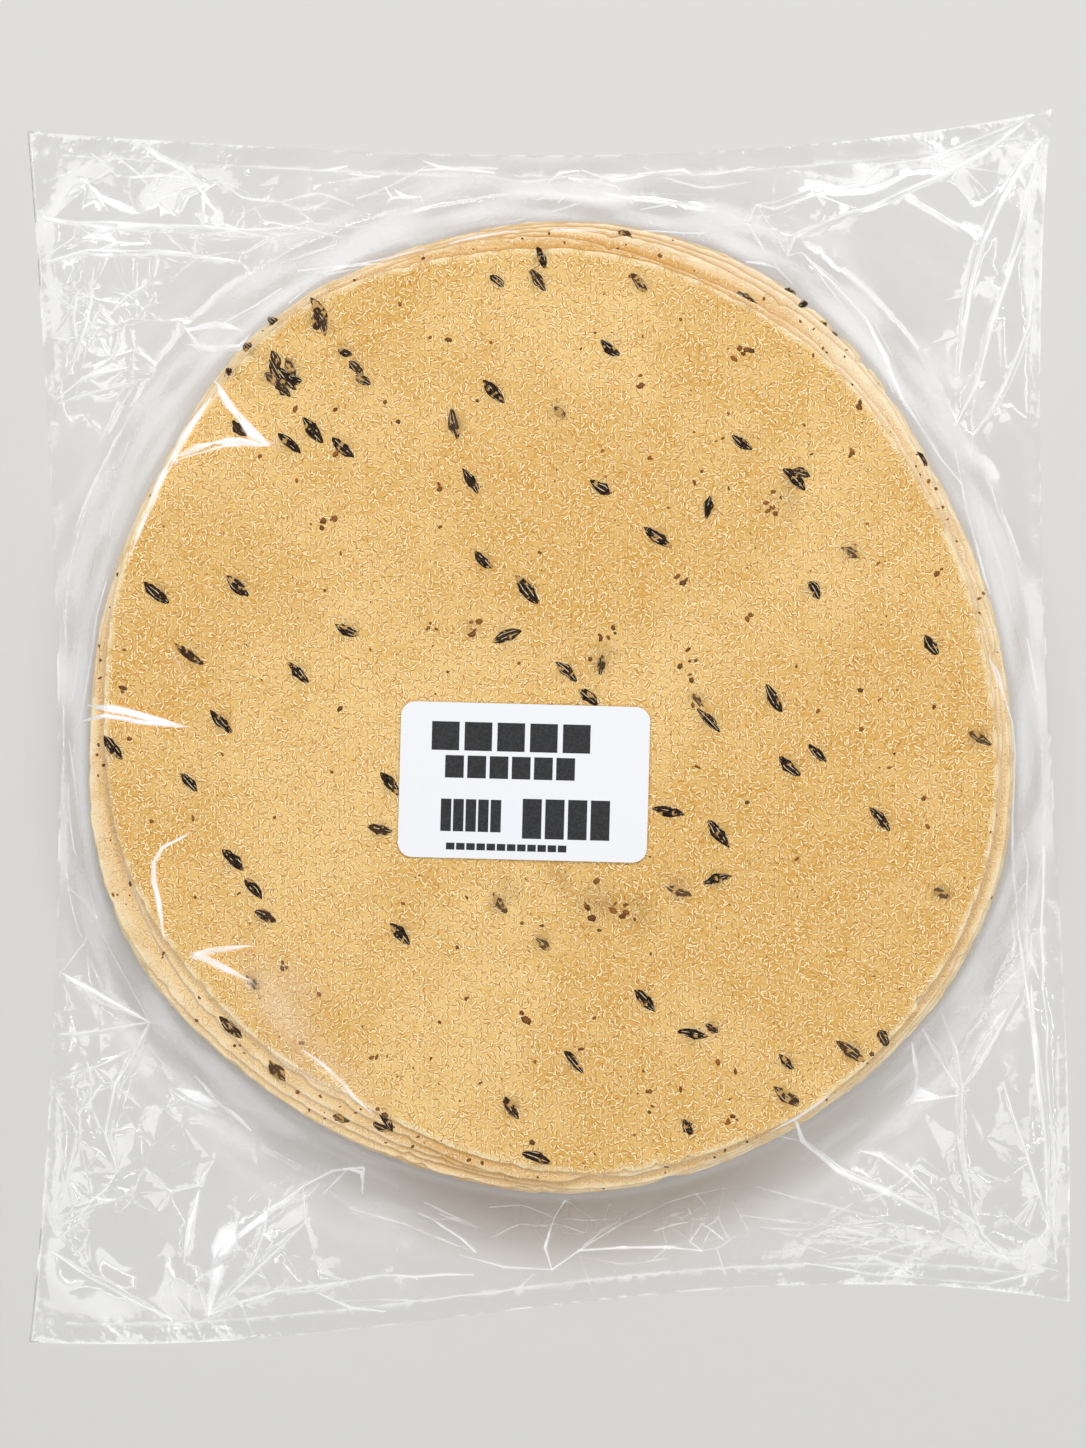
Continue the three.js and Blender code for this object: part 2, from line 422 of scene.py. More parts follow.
def film_base(x, y):
    """Heights of the calm front sheet and back sheet, and of the line where they meet."""
    turn, radius = from_centre(x, y)
    edge = edge_reach(turn)
    lift = np.interp(turn, edge_turns, edge_lifts, period=2 * math.pi)
    rims = [papad_rim(index, turn) for index in range(SHOWN_PAPADS)]
    wall = np.maximum.reduce(rims)
    wall_height = FILM_TOP - LEDGE_DROP * (SHOWN_PAPADS - 1)
    margin = edge - wall
    slope = np.minimum(np.interp(turn, table_turns, slope_reaches), margin * SLOPE_SHARE)
    puff = MARGIN_PUFF * np.clip(margin / FULL_PUFF_MARGIN, LEAST_PUFF, 1)

    def under(at):
        outer = FOOT_LIFT + (lift - FOOT_LIFT) * smooth((at - wall) / margin)
        rising = smooth((at / wall - UNDER_RISES_FROM) / UNDER_RISES_OVER)
        inner = UNDER_STACK + (FOOT_LIFT - UNDER_STACK) * rising
        return np.where(at > wall, outer, inner)

    def over(at):
        spanned = np.clip((at - rims[0]) / (wall - rims[0]), 0, 1) ** SPAN_CURVE
        stack = FILM_TOP - (FILM_TOP - wall_height) * spanned
        stack = np.where(at > wall, 0.0, stack)
        for step, rim in enumerate(rims):
            level = FILM_TOP - LEDGE_DROP * step
            stack = np.maximum(stack, level - RAMP * np.maximum(0, at - rim))
        share = np.clip((at - wall - slope) / (margin - slope), 0, 1)
        flat = under(np.maximum(at, wall + slope)) + FILM_PAIR + puff * np.sin(math.pi * share) ** 2
        down = np.clip((at - wall) / slope, 0, 1)
        fall = flat + (wall_height - flat) * (1 - down) ** SLOPE_CURVE
        return np.maximum(stack, fall)

    front = (over(radius - BEND) + 2 * over(radius) + over(radius + BEND)) / 4
    return front, under(radius), lift + FILM_PAIR / 2


def seen_on_film(pixels):
    """The places on the calm film that the camera sees at these pixels."""
    across, down = np.array(pixels, dtype=float).T
    heights = np.full(len(across), MARGIN_HEIGHT)
    for _ in range(3):
        x, y = from_photo(across, down, heights)
        heights = film_base(x, y)[0]
    return list(zip(x, y))


def ripple(points, size, salt):
    """Soft noise between about -0.5 and 0.5 for each point."""
    return np.array([noise.noise(Vector((x / size, y / size, salt))) for x, y in points])


def film_rise(points):
    """0 where the sheets are welded or folded, 1 away from there, and how far both are."""
    away = {name: distance_to_line(points, line) for name, line in side_lines.items()}
    ends = np.minimum(away["top"], away["bottom"])
    sides = np.minimum(away["left"], away["right"])
    held = WELD_RISE * (1 + WELD_RISE_VARIES * ripple(points, WELD_RISE_SIZE, 47.2))
    risen = np.clip((ends - SEAL_WIDTH) / held, 0, 1) ** 1.5 * smooth(sides / FOLD_WIDTH)
    return risen, ends, sides


sample = film_base(np.array([0.0, 76.0, 82.0]), np.array([0.0, 40.0, 80.0]))
print("front film heights at three places:", sample[0].round(2))

# %% [markdown]
# Creases make the film look like film. The main ones were traced in the photograph, each
# with how far it stands up in mm and how white the fold is, from 0 to 1: partly worn film,
# partly painted highlight. Where the bag is crumpled, small random facets are added, and every
# facet edge becomes a fold.

# %% The main creases, in photograph pixels
MARGIN_CREASES = {
    "upper right": [
        (1.6, 0.8, [(1039, 111), (1006, 127), (932, 157), (881, 164), (863, 182)]),
        (1.6, 0.8, [(863, 182), (815, 195), (774, 210), (756, 205)]),
        (1.8, 0.9, [(1029, 118), (988, 149), (942, 174), (896, 195), (863, 210), (794, 238), (787, 256)]),
        (0.7, 0.5, [(879, 169), (945, 163), (998, 171)]),
        (2.0, 1.0, [(1052, 128), (1029, 154), (1001, 202), (981, 246), (968, 297), (958, 373)]),
        (1.2, 0.9, [(1044, 139), (1027, 192), (1006, 271)]),
        (1.2, 0.8, [(1021, 243), (991, 325), (976, 386), (955, 427)]),
        (1.3, 0.9, [(1034, 279), (1029, 325), (1004, 386), (973, 435)]),
        (0.9, 0.6, [(1029, 355), (1039, 432), (1042, 478)]),
        (1.1, 0.9, [(802, 253), (833, 284), (866, 320), (886, 358), (902, 399), (940, 458)]),
        (0.6, 0.6, [(812, 266), (842, 306), (872, 347), (893, 393)]),
        (0.6, 0.6, [(756, 205), (748, 223), (777, 269), (792, 284)]),
        (0.6, 0.5, [(756, 205), (775, 232), (787, 256), (802, 253)]),
        (0.5, 0.5, [(748, 223), (725, 226), (700, 233)]),
        (0.6, 0.9, [(746, 262), (762, 264), (777, 269)]),
    ],
    "upper left": [
        (1.3, 0.9, [(29, 213), (77, 223), (161, 226), (245, 231), (309, 222)]),
        (1.2, 0.8, [(32, 265), (88, 252), (190, 255), (240, 262)]),
        (0.7, 0.6, [(32, 264), (74, 238), (77, 223)]),
        (0.7, 0.8, [(79, 228), (107, 233), (117, 243), (99, 250)]),
        (1.4, 1.0, [(140, 137), (158, 157), (184, 169), (202, 192)]),
        (0.8, 0.5, [(194, 259), (196, 241), (219, 233), (309, 230)]),
        (0.6, 0.5, [(244, 254), (275, 238), (306, 233)]),
        (1.3, 0.8, [(186, 329), (224, 324), (255, 307), (281, 289)]),
        (1.2, 1.0, [(186, 329), (201, 348), (240, 347), (250, 335)]),
        (1.0, 0.2, [(184, 353), (153, 399), (133, 432)]),
        (0.8, 0.6, [(51, 292), (84, 315), (97, 330)]),
        (0.8, 0.6, [(127, 320), (112, 358)]),
        (1.0, 0.7, [(43, 409), (84, 378), (127, 368)]),
        (0.8, 0.5, [(43, 409), (138, 381)]),
        (0.7, 0.5, [(102, 437), (135, 384)]),
        (0.6, 0.9, [(298, 271), (340, 267), (383, 264)]),
        (0.6, 0.7, [(291, 302), (324, 276), (357, 269)]),
    ],
    "top": [
        (0.6, 0.9, [(330, 271), (392, 258), (454, 242), (509, 232), (554, 230), (628, 231), (708, 232)]),
        (0.7, 0.4, [(484, 227), (514, 210), (554, 190)]),
        (0.7, 0.5, [(504, 222), (546, 212), (584, 200), (599, 201)]),
        (0.6, 0.6, [(641, 208), (673, 203), (718, 208)]),
        (0.5, 0.6, [(651, 222), (671, 224), (698, 222)]),
        (0.6, 0.7, [(385, 187), (392, 198), (420, 197)]),
        (0.6, 0.9, [(417, 158), (442, 167), (494, 172)]),
        (0.5, 0.8, [(549, 182), (560, 172), (579, 170)]),
        (0.5, 0.9, [(574, 180), (594, 186), (604, 177), (625, 175)]),
        (0.5, 0.9, [(641, 173), (683, 169), (691, 173)]),
    ],
    "lower left": [
        (1.6, 1.0, [(61, 973), (105, 997), (150, 1022)]),
        (1.1, 0.7, [(52, 1035), (100, 1030), (150, 1022)]),
        (0.9, 0.6, [(56, 1012), (73, 1007), (63, 985)]),
        (1.3, 0.8, [(150, 1022), (116, 1084), (106, 1133), (118, 1172)]),
        (0.8, 0.5, [(52, 1081), (132, 1050), (150, 1022)]),
        (1.2, 0.9, [(196, 1076), (218, 1102), (251, 1130)]),
        (0.8, 0.7, [(171, 1090), (184, 1099), (233, 1120)]),
        (1.9, 1.0, [(303, 1186), (239, 1237), (220, 1255), (208, 1316)]),
        (1.2, 0.7, [(306, 1221), (258, 1268), (208, 1316)]),
        (0.9, 0.6, [(303, 1186), (306, 1221), (321, 1273), (346, 1281)]),
        (1.1, 1.0, [(199, 1191), (190, 1225), (184, 1264)]),
        (0.8, 0.7, [(214, 1160), (199, 1185), (171, 1191), (144, 1169)]),
        (1.1, 0.9, [(52, 1252), (92, 1279), (138, 1304), (171, 1320)]),
        (0.8, 0.5, [(55, 1096), (77, 1133), (52, 1218)]),
        (0.8, 0.6, [(52, 1218), (132, 1194), (144, 1169)]),
        (0.7, 0.5, [(98, 924), (125, 975), (150, 1022)]),
        (0.7, 0.8, [(303, 1186), (334, 1170), (364, 1167), (362, 1190)]),
        (0.5, 0.6, [(159, 1307), (167, 1286), (190, 1318)]),
        (0.9, 0.8, [(208, 1316), (275, 1292), (346, 1283), (379, 1276), (417, 1277), (473, 1275)]),
    ],
    "bottom": [
        (0.8, 0.4, [(353, 1209), (403, 1223), (447, 1241), (476, 1252)]),
        (0.7, 0.8, [(438, 1223), (461, 1238), (476, 1252)]),
        (0.6, 0.5, [(461, 1255), (505, 1267), (552, 1270)]),
        (0.8, 0.8, [(552, 1270), (579, 1250), (623, 1247), (667, 1247), (702, 1251)]),
        (0.8, 0.6, [(552, 1270), (545, 1247), (555, 1216), (565, 1200)]),
        (0.7, 0.4, [(579, 1250), (623, 1223), (667, 1203), (725, 1188)]),
        (0.6, 0.5, [(702, 1251), (690, 1241), (702, 1223), (711, 1229), (725, 1241)]),
        (0.4, 0.4, [(341, 1302), (429, 1302), (520, 1288), (532, 1276)]),
    ],
    "lower right": [
        (1.9, 1.0, [(795, 1120), (801, 1140), (838, 1170), (892, 1194), (939, 1219)]),
        (0.8, 0.6, [(771, 1134), (801, 1140)]),
        (1.2, 0.9, [(862, 1151), (880, 1155), (912, 1179), (931, 1197), (940, 1224)]),
        (1.3, 0.8, [(922, 1029), (936, 1054), (958, 1088)]),
        (1.3, 0.8, [(941, 1014), (956, 1049), (961, 1088), (961, 1138), (965, 1167), (973, 1211)]),
        (1.1, 0.8, [(1018, 995), (993, 1039), (961, 1088)]),
        (1.2, 1.0, [(1025, 980), (1037, 1078), (1045, 1138), (1047, 1202)]),
        (0.9, 0.7, [(1043, 990), (1052, 1128), (1057, 1263)]),
        (0.9, 0.8, [(1003, 1083), (1027, 1157), (1052, 1231)]),
        (0.8, 1.0, [(912, 1044), (917, 1074), (912, 1101), (958, 1095)]),
        (0.6, 0.4, [(942, 1236), (1000, 1258), (1060, 1272)]),
        (0.7, 0.7, [(806, 1264), (936, 1280), (990, 1284), (1045, 1272)]),
        (0.6, 0.6, [(973, 1211), (984, 1236), (1010, 1262)]),
        (0.5, 0.3, [(757, 1187), (830, 1205), (904, 1226)]),
        (0.5, 0.3, [(740, 1215), (830, 1226), (910, 1243)]),
    ],
    "right": [
        (0.8, 0.9, [(940, 458), (961, 484), (968, 518), (985, 581), (990, 594)]),
        (0.5, 0.7, [(955, 450), (961, 484)]),
        (0.7, 0.9, [(1005, 700), (1012, 723), (1015, 754), (1014, 786)]),
        (0.7, 0.9, [(1014, 786), (1012, 815), (1013, 872), (1018, 930)]),
        (0.8, 0.8, [(1018, 930), (1021, 950), (1025, 980)]),
        (0.6, 0.7, [(1023, 834), (1028, 863), (1026, 911), (1028, 959)]),
        (0.6, 0.8, [(1046, 807), (1044, 853), (1041, 930), (1043, 990)]),
        (0.5, -0.5, [(978, 486), (988, 533), (1006, 589), (1023, 656), (1036, 699)]),
        (0.5, 0.4, [(1036, 440), (1041, 540), (1045, 655), (1045, 700), (1048, 790)]),
        (0.6, 0.8, [(1028, 639), (1033, 664), (1039, 699)]),
    ],
    "left": [
        (0.6, 0.5, [(62, 600), (64, 622), (70, 685)]),
        (0.8, -0.5, [(106, 473), (103, 523), (91, 573), (78, 639), (70, 699)]),
        (0.6, -0.4, [(75, 809), (83, 868), (97, 917)]),
        (0.6, 0.6, [(129, 480), (115, 506), (110, 535)]),
        (0.7, 1.0, [(106, 583), (97, 616), (93, 647), (83, 699), (78, 720)]),
        (0.6, 0.8, [(78, 720), (72, 730), (72, 749)]),
        (0.6, 0.8, [(67, 743), (72, 779), (75, 803)]),
        (0.6, 0.9, [(66, 785), (67, 813), (72, 850)]),
        (0.7, 0.5, [(61, 882), (83, 901), (97, 919), (62, 971)]),
    ],
}
STACK_CREASES = [
    (0.9, 1.0, [(217, 383), (240, 415), (270, 445)]),
    (0.7, 1.0, [(270, 445), (225, 446), (174, 461)]),
    (0.5, 0.9, [(174, 461), (209, 401)]),
    (0.5, 0.8, [(179, 450), (161, 485)]),
    (0.5, 0.8, [(158, 496), (138, 533)]),
    (0.6, 1.0, [(89, 705), (113, 708), (143, 715), (182, 725)]),
    (0.6, 0.9, [(78, 722), (105, 715), (138, 722), (182, 727)]),
    (0.3, 0.4, [(171, 648), (186, 680)]),
    (0.6, 1.0, [(185, 836), (162, 848), (154, 862), (154, 882), (164, 937)]),
    (0.5, 0.9, [(246, 946), (220, 949), (196, 955)]),
    (0.4, 0.8, [(196, 955), (224, 970), (250, 980)]),
    (0.4, 0.8, [(303, 1050), (322, 1063), (340, 1081), (352, 1095), (368, 1110)]),
    (0.5, 1.0, [(990, 659), (996, 679), (1005, 700)]),
]
crease_count = sum(len(creases) for creases in MARGIN_CREASES.values()) + len(STACK_CREASES)
print(crease_count, "main creases")

# %% [markdown]
# Crushed film also has bundles of short folds that run nearly the same way. Each bundle is an
# oval: its middle pixel, its reach along and across, the way it runs in degrees, the number of
# folds, and the whiteness of the whitest. Glares are painted highlights: broad bright places,
# traced like creases and drawn as full-white worn film.

# %% Bundles of short folds, and painted glares
BUNDLES = [
    (120, 160, 15, 5, -28, 8, 1.0), (285, 232, 16, 5, 10, 8, 0.8), (75, 238, 7, 3, 12, 5, 1.0),
    (98, 340, 12, 6, 58, 8, 0.8), (120, 470, 10, 3, 75, 4, 0.6), (420, 166, 20, 2, -2, 9, 1.0),
    (610, 175, 16, 3, 4, 9, 1.0), (1000, 165, 8, 4, 38, 4, 0.8), (945, 425, 4, 3, 60, 6, 1.0),
    (800, 215, 10, 4, 22, 3, 0.4), (1015, 930, 9, 3, 80, 6, 0.8), (75, 1100, 10, 5, 70, 6, 0.8),
    (235, 1235, 12, 5, 58, 5, 0.8), (340, 1285, 16, 3, 6, 5, 0.9), (645, 1222, 9, 4, 25, 5, 0.4),
    (705, 1238, 6, 4, 40, 4, 0.5), (1000, 1230, 9, 4, -30, 6, 0.8), (800, 1215, 20, 4, -12, 6, 0.35),
    (95, 1210, 9, 4, 40, 6, 0.9), (440, 1225, 12, 3, -20, 5, 0.5), (990, 1000, 7, 3, 40, 5, 0.9),
    (225, 160, 15, 5, 6, 9, 0.8), (330, 180, 14, 5, 4, 8, 0.8), (505, 188, 16, 5, 0, 8, 0.6),
    (700, 178, 14, 4, -4, 7, 0.7), (830, 150, 14, 3, -10, 6, 0.5), (930, 140, 10, 3, -14, 5, 0.6),
    (60, 290, 8, 5, 60, 6, 0.7), (150, 300, 14, 4, 20, 5, 0.5), (300, 1175, 10, 5, 30, 5, 0.5),
    (870, 1240, 16, 5, 8, 8, 0.5), (560, 1235, 16, 4, 12, 7, 0.45), (1035, 600, 10, 2, 84, 5, 0.6),
]
PAINTED_GLARES = [
    (1.1, [(83, 238), (101, 234), (118, 243)]),
    (0.60, [(30, 215), (77, 224), (161, 227), (228, 230)]),
    (0.55, [(60, 258), (88, 252), (188, 255)]),
    (0.9, [(189, 331), (215, 325), (240, 330)]),
    (0.7, [(190, 345), (215, 350), (236, 346)]),
    (0.5, [(135, 140), (150, 150), (160, 158)]),
    (0.5, [(395, 190), (404, 197), (417, 198)]),
    (0.8, [(300, 1190), (262, 1218), (232, 1240)]),
    (1.9, [(236, 1222), (228, 1234), (222, 1248), (217, 1268)]),
    (1.0, [(224, 1240), (216, 1276), (209, 1314)]),
    (0.55, [(61, 973), (105, 997), (148, 1021)]),
    (0.55, [(199, 1193), (190, 1225), (184, 1262)]),
    (1.2, [(178, 1088), (198, 1096), (218, 1106)]),
    (0.55, [(210, 1098), (232, 1112), (251, 1130)]),
    (0.45, [(345, 1168), (362, 1172), (363, 1188)]),
    (0.5, [(797, 1122), (802, 1140), (812, 1150)]),
    (0.6, [(812, 1150), (838, 1170), (892, 1194), (936, 1218)]),
    (0.5, [(912, 1046), (917, 1074), (915, 1092)]),
    (1.3, [(908, 1100), (918, 1092), (938, 1097)]),
    (0.5, [(1052, 128), (1029, 154), (1001, 202), (983, 242)]),
    (0.45, [(968, 297), (960, 350)]),
    (0.5, [(866, 322), (886, 358), (902, 399)]),
    (0.45, [(1031, 985), (1037, 1078), (1044, 1130)]),
    (0.70, [(218, 385), (228, 405), (240, 420)]),
    (1.05, [(238, 418), (252, 434), (266, 444)]),
    (0.80, [(264, 446), (240, 441), (214, 443)]),
    (0.65, [(216, 443), (200, 447), (178, 456)]),
    (0.70, [(205, 404), (190, 428), (177, 450), (168, 464)]),
    (0.70, [(168, 464), (157, 488), (148, 510)]),
    (0.50, [(148, 510), (139, 532), (132, 552)]),
    (0.80, [(90, 706), (113, 709), (143, 716), (180, 726)]),
    (0.45, [(80, 722), (105, 716), (138, 722), (178, 727)]),
    (0.50, [(183, 837), (163, 847), (154, 862), (154, 882), (160, 905), (164, 935)]),
    (0.75, [(246, 946), (222, 949), (198, 955), (222, 966), (246, 979)]),
    (0.35, [(768, 1133), (797, 1117), (829, 1096)]),
    (0.45, [(990, 660), (998, 672), (1004, 697)]),
    (0.40, [(318, 1061), (340, 1080), (352, 1094), (366, 1108)]),
]
BUNDLE_SPREAD = 14
SHORT_FOLD_STEP = 1.6
print(sum(row[5] for row in BUNDLES), "short folds and", len(PAINTED_GLARES), "glares")

# %% [markdown]
# Crumpled places are circles: a pixel for the middle, a reach, the usual size of a facet and
# how far the facets stand up or sink. Everywhere else in the margin the facets are large.

# %% Where the film is crumpled
CRUMPLES = [
    (110, 175, 18, 4.2, 0.26),
    (285, 235, 12, 3.2, 0.18),
    (85, 345, 14, 5.0, 0.28),
    (105, 1130, 20, 5.0, 0.36),
    (225, 1290, 12, 5.0, 0.26),
    (650, 1215, 20, 4.6, 0.18),
    (985, 1200, 17, 5.5, 0.26),
    (1005, 165, 10, 4.6, 0.18),
    (945, 425, 8, 3.4, 0.22),
    (80, 900, 10, 5.5, 0.22),
    (990, 965, 9, 3.6, 0.22),
    (560, 172, 16, 4.0, 0.16),
]
CALM_FACET = 27.0
CALM_HEIGHT = 0.35

crumple_middles = np.array([from_photo(across, down, MARGIN_HEIGHT) for across, down, *_ in CRUMPLES])
crumple_numbers = np.array([row[2:] for row in CRUMPLES])


def crumpling(x, y):
    """How large the facets are at a place, how far they stand up, and how crumpled it is."""
    away = np.hypot(*(crumple_middles - (x, y)).T)
    reach, size, height = crumple_numbers.T
    inside = 1 - smooth((away / reach - 0.7) / 0.6)
    strongest = int(np.argmax(inside))
    share = inside[strongest]
    return (
        CALM_FACET + (size[strongest] - CALM_FACET) * share,
        CALM_HEIGHT + (height[strongest] - CALM_HEIGHT) * share,
        share,
    )


print(len(CRUMPLES), "crumpled places")

# %% [markdown]
# The folds are planned on a coarse flat map: the traced creases and random points become the
# corners of facets, each with a height above or below the calm film. A Delaunay
# triangulation joins them and keeps every traced crease as an edge.

# %% The coarse map of facets
SEED = 41
STACK_RIM_STEPS = 60
OUTLINE_EVERY = 9
RING_REACH = 79.5
RING_INSIDE_EDGE = 2.5
RING_SHAKE = 1.8
INNER_RING = 0.88
MARGIN_FROM = 80.0
MARGIN_TO_EDGE = 2.0
FACET_TRIES = 9000
FACET_GAP = 0.62
HALF_WIDTH = 86.0
HALF_LENGTH = 101.0


class FoldMap:
    """Corners of facets, with the edges that must stay."""

    def __init__(self):
        self.places = []
        self.heights = []
        self.edges = []

    def corner(self, place, height):
        self.places.append(Vector(place))
        self.heights.append(height)
        return len(self.places) - 1

    def line(self, places, heights, closed=False):
        numbers = [self.corner(place, height) for place, height in zip(places, heights)]
        self.edges += list(zip(numbers[:-1], numbers[1:]))
        if closed:
            self.edges.append((numbers[-1], numbers[0]))
        return numbers

    def keep_clear(self, place, gap):
        """True if the place is at least this far from every corner so far."""
        x, y = place
        return all((other.x - x) ** 2 + (other.y - y) ** 2 > gap * gap for other in self.places)

    def triangulate(self):
        """Triangles, and each edge as a pair of corners, with heights for every corner."""
        found = delaunay_2d_cdt(self.places, self.edges, [], 1, 1e-4, True)
        places, edges, faces, from_corners = found[:4]
        heights = []
        for place, sources in zip(places, from_corners):
            if sources:
                heights.append(max(self.heights[source] for source in sources))
            else:
                heights.append(self.crossing_height(place))
        return places, edges, faces, heights

    def crossing_height(self, place):
        """The height where two kept edges cross, from the nearer edge's two ends."""
        best = (math.inf, 0.0)
        for first, second in self.edges:
            start = self.places[first]
            along = self.places[second] - start
            share = (place - start).dot(along) / max(along.dot(along), 1e-9)
            if 0 <= share <= 1:
                gap = (start + along * share - place).length
                height = self.heights[first] * (1 - share) + self.heights[second] * share
                best = min(best, (gap, height))
        return best[1]


CREASE_STEP = 6.0
GLARE_STEP = 2.4
CURVED = 0.6
WANDER = 0.16


def curved_line(points, step, wander):
    """A slightly wandering curve through these points, in stretches of about this step."""
    points = np.array(points, dtype=float)
    padded = np.concatenate((2 * points[:1] - points[1:2], points, 2 * points[-1:] - points[-2:-1]))
    made = [points[0]]
    for index in range(len(points) - 1):
        before, start, end, after = padded[index:index + 4]
        count = max(1, round(float(np.hypot(*(end - start))) / step))
        for number in range(1, count + 1):
            share = number / count
            straight = start + (end - start) * share
            curve = start + 0.5 * share * (
                end - before
                + share * (2 * before - 5 * start + 4 * end - after)
                + share * share * (3 * start - before - 3 * end + after)
            )
            place = straight + (curve - straight) * CURVED
            if number < count:
                place = place + (draw.gauss(0, wander), draw.gauss(0, wander))
            made.append(place)
    return made


def tapered(count, least):
    """1 along the middle of a line and this least share at its two ends, for each point."""
    return least + (1 - least) * np.sin(np.linspace(0, math.pi, count)) ** 0.5


def crease_heights(count, rise):
    """Full height along a crease, and less at its two ends."""
    return list(rise * tapered(count, 0.45))


def inside_margin(x, y):
    """True in the empty margin, clear of the bag's edge and of the stack."""
    turn, radius = from_centre(np.array([x]), np.array([y]))
    return MARGIN_FROM < radius[0] < edge_reach(turn)[0] - MARGIN_TO_EDGE


draw = random.Random(SEED)
folds = FoldMap()
edge_corners = outline[::OUTLINE_EVERY]
folds.line(edge_corners, [0.0] * len(edge_corners), closed=True)
ring_turns = np.linspace(0, 2 * math.pi, STACK_RIM_STEPS, endpoint=False)
ring = places_at(ring_turns, np.minimum(RING_REACH, edge_reach(ring_turns) - RING_INSIDE_EDGE))
traced = []
for creases in (*MARGIN_CREASES.values(), STACK_CREASES):
    for rise, white, pixels in creases:
        places = curved_line(seen_on_film(pixels), CREASE_STEP, WANDER)
        folds.line(places, crease_heights(len(places), rise))
        traced.append((rise, white, places))
for across, down, along, aside, degrees, count, whitest in BUNDLES:
    middle = Vector(seen_on_film([(across, down)])[0])
    for _ in range(count):
        turn = math.radians(degrees + draw.gauss(0, BUNDLE_SPREAD))
        ahead = Vector((math.cos(turn), math.sin(turn)))
        beside = Vector((-ahead.y, ahead.x))
        start = middle + ahead * draw.uniform(-0.7, 0.7) * along + beside * draw.uniform(-1, 1) * aside
        half = draw.uniform(0.18, 0.5) * along
        bow = draw.uniform(-0.3, 0.3) * half
        ends = [start - ahead * half, start + beside * bow, start + ahead * half]
        places = curved_line(ends, SHORT_FOLD_STEP, 0.0)
        if all(inside_margin(*place) for place in places):
            rise = draw.uniform(-0.3, 0.6)
            folds.line(places, crease_heights(len(places), rise))
            traced.append((rise, whitest * draw.uniform(0.25, 1.0), places))
for place in ring:
    shaken = place + (draw.uniform(-RING_SHAKE, RING_SHAKE), draw.uniform(-RING_SHAKE, RING_SHAKE))
    if folds.keep_clear(shaken, 3.0):
        folds.corner(shaken, draw.uniform(-0.15, 0.15))
for place in ring * INNER_RING:
    if folds.keep_clear(place, 6.0):
        folds.corner(place, 0.0)
for _ in range(FACET_TRIES):
    x = draw.uniform(-HALF_WIDTH, HALF_WIDTH)
    y = draw.uniform(-HALF_LENGTH, HALF_LENGTH)
    size, height, _ = crumpling(x, y)
    if inside_margin(x, y) and folds.keep_clear((x, y), size * FACET_GAP):
        folds.corner((x, y), draw.uniform(-0.7, 1.0) * height)
fold_places, fold_edges, fold_faces, fold_heights = folds.triangulate()
print("the coarse map has", len(fold_places), "corners and", len(fold_faces), "facets")

# %% [markdown]
# A facet's height at any place comes from dropping a ray on the coarse map. A fold is more
# than the change of slope between two facets: worn film keeps a narrow ridge there, and that
# ridge is what catches the light. Its height fades to nothing over a small width each side.

# %% Heights of facets and ridges
fold_points = [Vector((place.x, place.y, height)) for place, height in zip(fold_places, fold_heights)]
fold_tree = BVHTree.FromPolygons(fold_points, fold_faces)
DOWN = Vector((0, 0, -1))


def facet_heights(points):
    """The height of the coarse map under each point."""
    heights = []
    for x, y in points:
        hit = fold_tree.ray_cast(Vector((x, y, 50.0)), DOWN)[0]
        heights.append(hit.z if hit else 0.0)
    return np.array(heights)


class Ridge:
    """A straight stretch of a fold: heights and half widths at both ends, and its whiteness."""

    def __init__(self, start, end, heights, half_widths, white):
        self.start = np.array(start)
        self.end = np.array(end)
        self.heights = heights
        self.half_widths = half_widths
        self.half_width = max(half_widths)
        self.white = white

    def length(self):
        return float(np.hypot(*(self.end - self.start)))

    def box_holds(self, points, gap=0.0):
        """True for each point in the box round the ridge, with this gap added all round."""
        low = np.minimum(self.start, self.end) - self.half_width - gap
        high = np.maximum(self.start, self.end) + self.half_width + gap
        return np.all((points >= low) & (points <= high), axis=1)


TRACED_HALF_WIDTH = 0.25
WHITE_WIDENS = 0.14
RIDGE_SLOPE = 0.42
RANDOM_HALF_WIDTH = 0.28
GLARE_HEIGHT = 0.22
BROAD_RIDGE = 0.45
LONGEST_RANDOM_FOLD = 26.0
CLEAR_OF_TRACED = 0.3
DOUBLED_FROM = 1.1
DOUBLE_GAP = 0.9
DOUBLE_WHITE = 0.5


def line_beside(places, gap):
    """A line next to another one that meets it at both ends."""
    points = np.array(places)
    shares = np.sin(np.linspace(0, math.pi, len(points))) ** 0.6
    return list(points + to_the_right(np.gradient(points, axis=0)) * (gap * shares)[:, None])


def add_ridges(places, tall, half_width, white, least):
    """A ridge along a line, lower and narrower at both ends."""
    shares = tapered(len(places), least)
    shares = shares * [draw.uniform(0.85, 1.15) for _ in places]
    for index in range(len(places) - 1):
        pair = shares[index:index + 2]
        ridges.append(Ridge(places[index], places[index + 1], tall * pair, half_width * pair, white))


ridges = []
doubles = []
for rise, white, places in traced:
    if rise >= DOUBLED_FROM and len(places) > 2:
        gap = DOUBLE_GAP * draw.choice((-1, 1)) * draw.uniform(0.6, 1.4)
        doubles.append((rise, white * DOUBLE_WHITE, line_beside(places, gap)))
for rise, white, places in traced + doubles:
    half_width = TRACED_HALF_WIDTH + WHITE_WIDENS * abs(white)
    add_ridges(places, RIDGE_SLOPE * half_width, half_width, white, 0.55)
# Painted highlights: each glare becomes a broad, full-white ridge.
for half_width, pixels in PAINTED_GLARES:
    add_ridges(curved_line(seen_on_film(pixels), GLARE_STEP, 0.05), GLARE_HEIGHT, half_width, 1.0, 0.2)
traced_count = len(ridges)
fold_starts = np.array([fold_places[first] for first, second in fold_edges])
fold_ends = np.array([fold_places[second] for first, second in fold_edges])
fold_middles = (fold_starts + fold_ends) / 2
from_traced = np.full(len(fold_edges), np.inf)
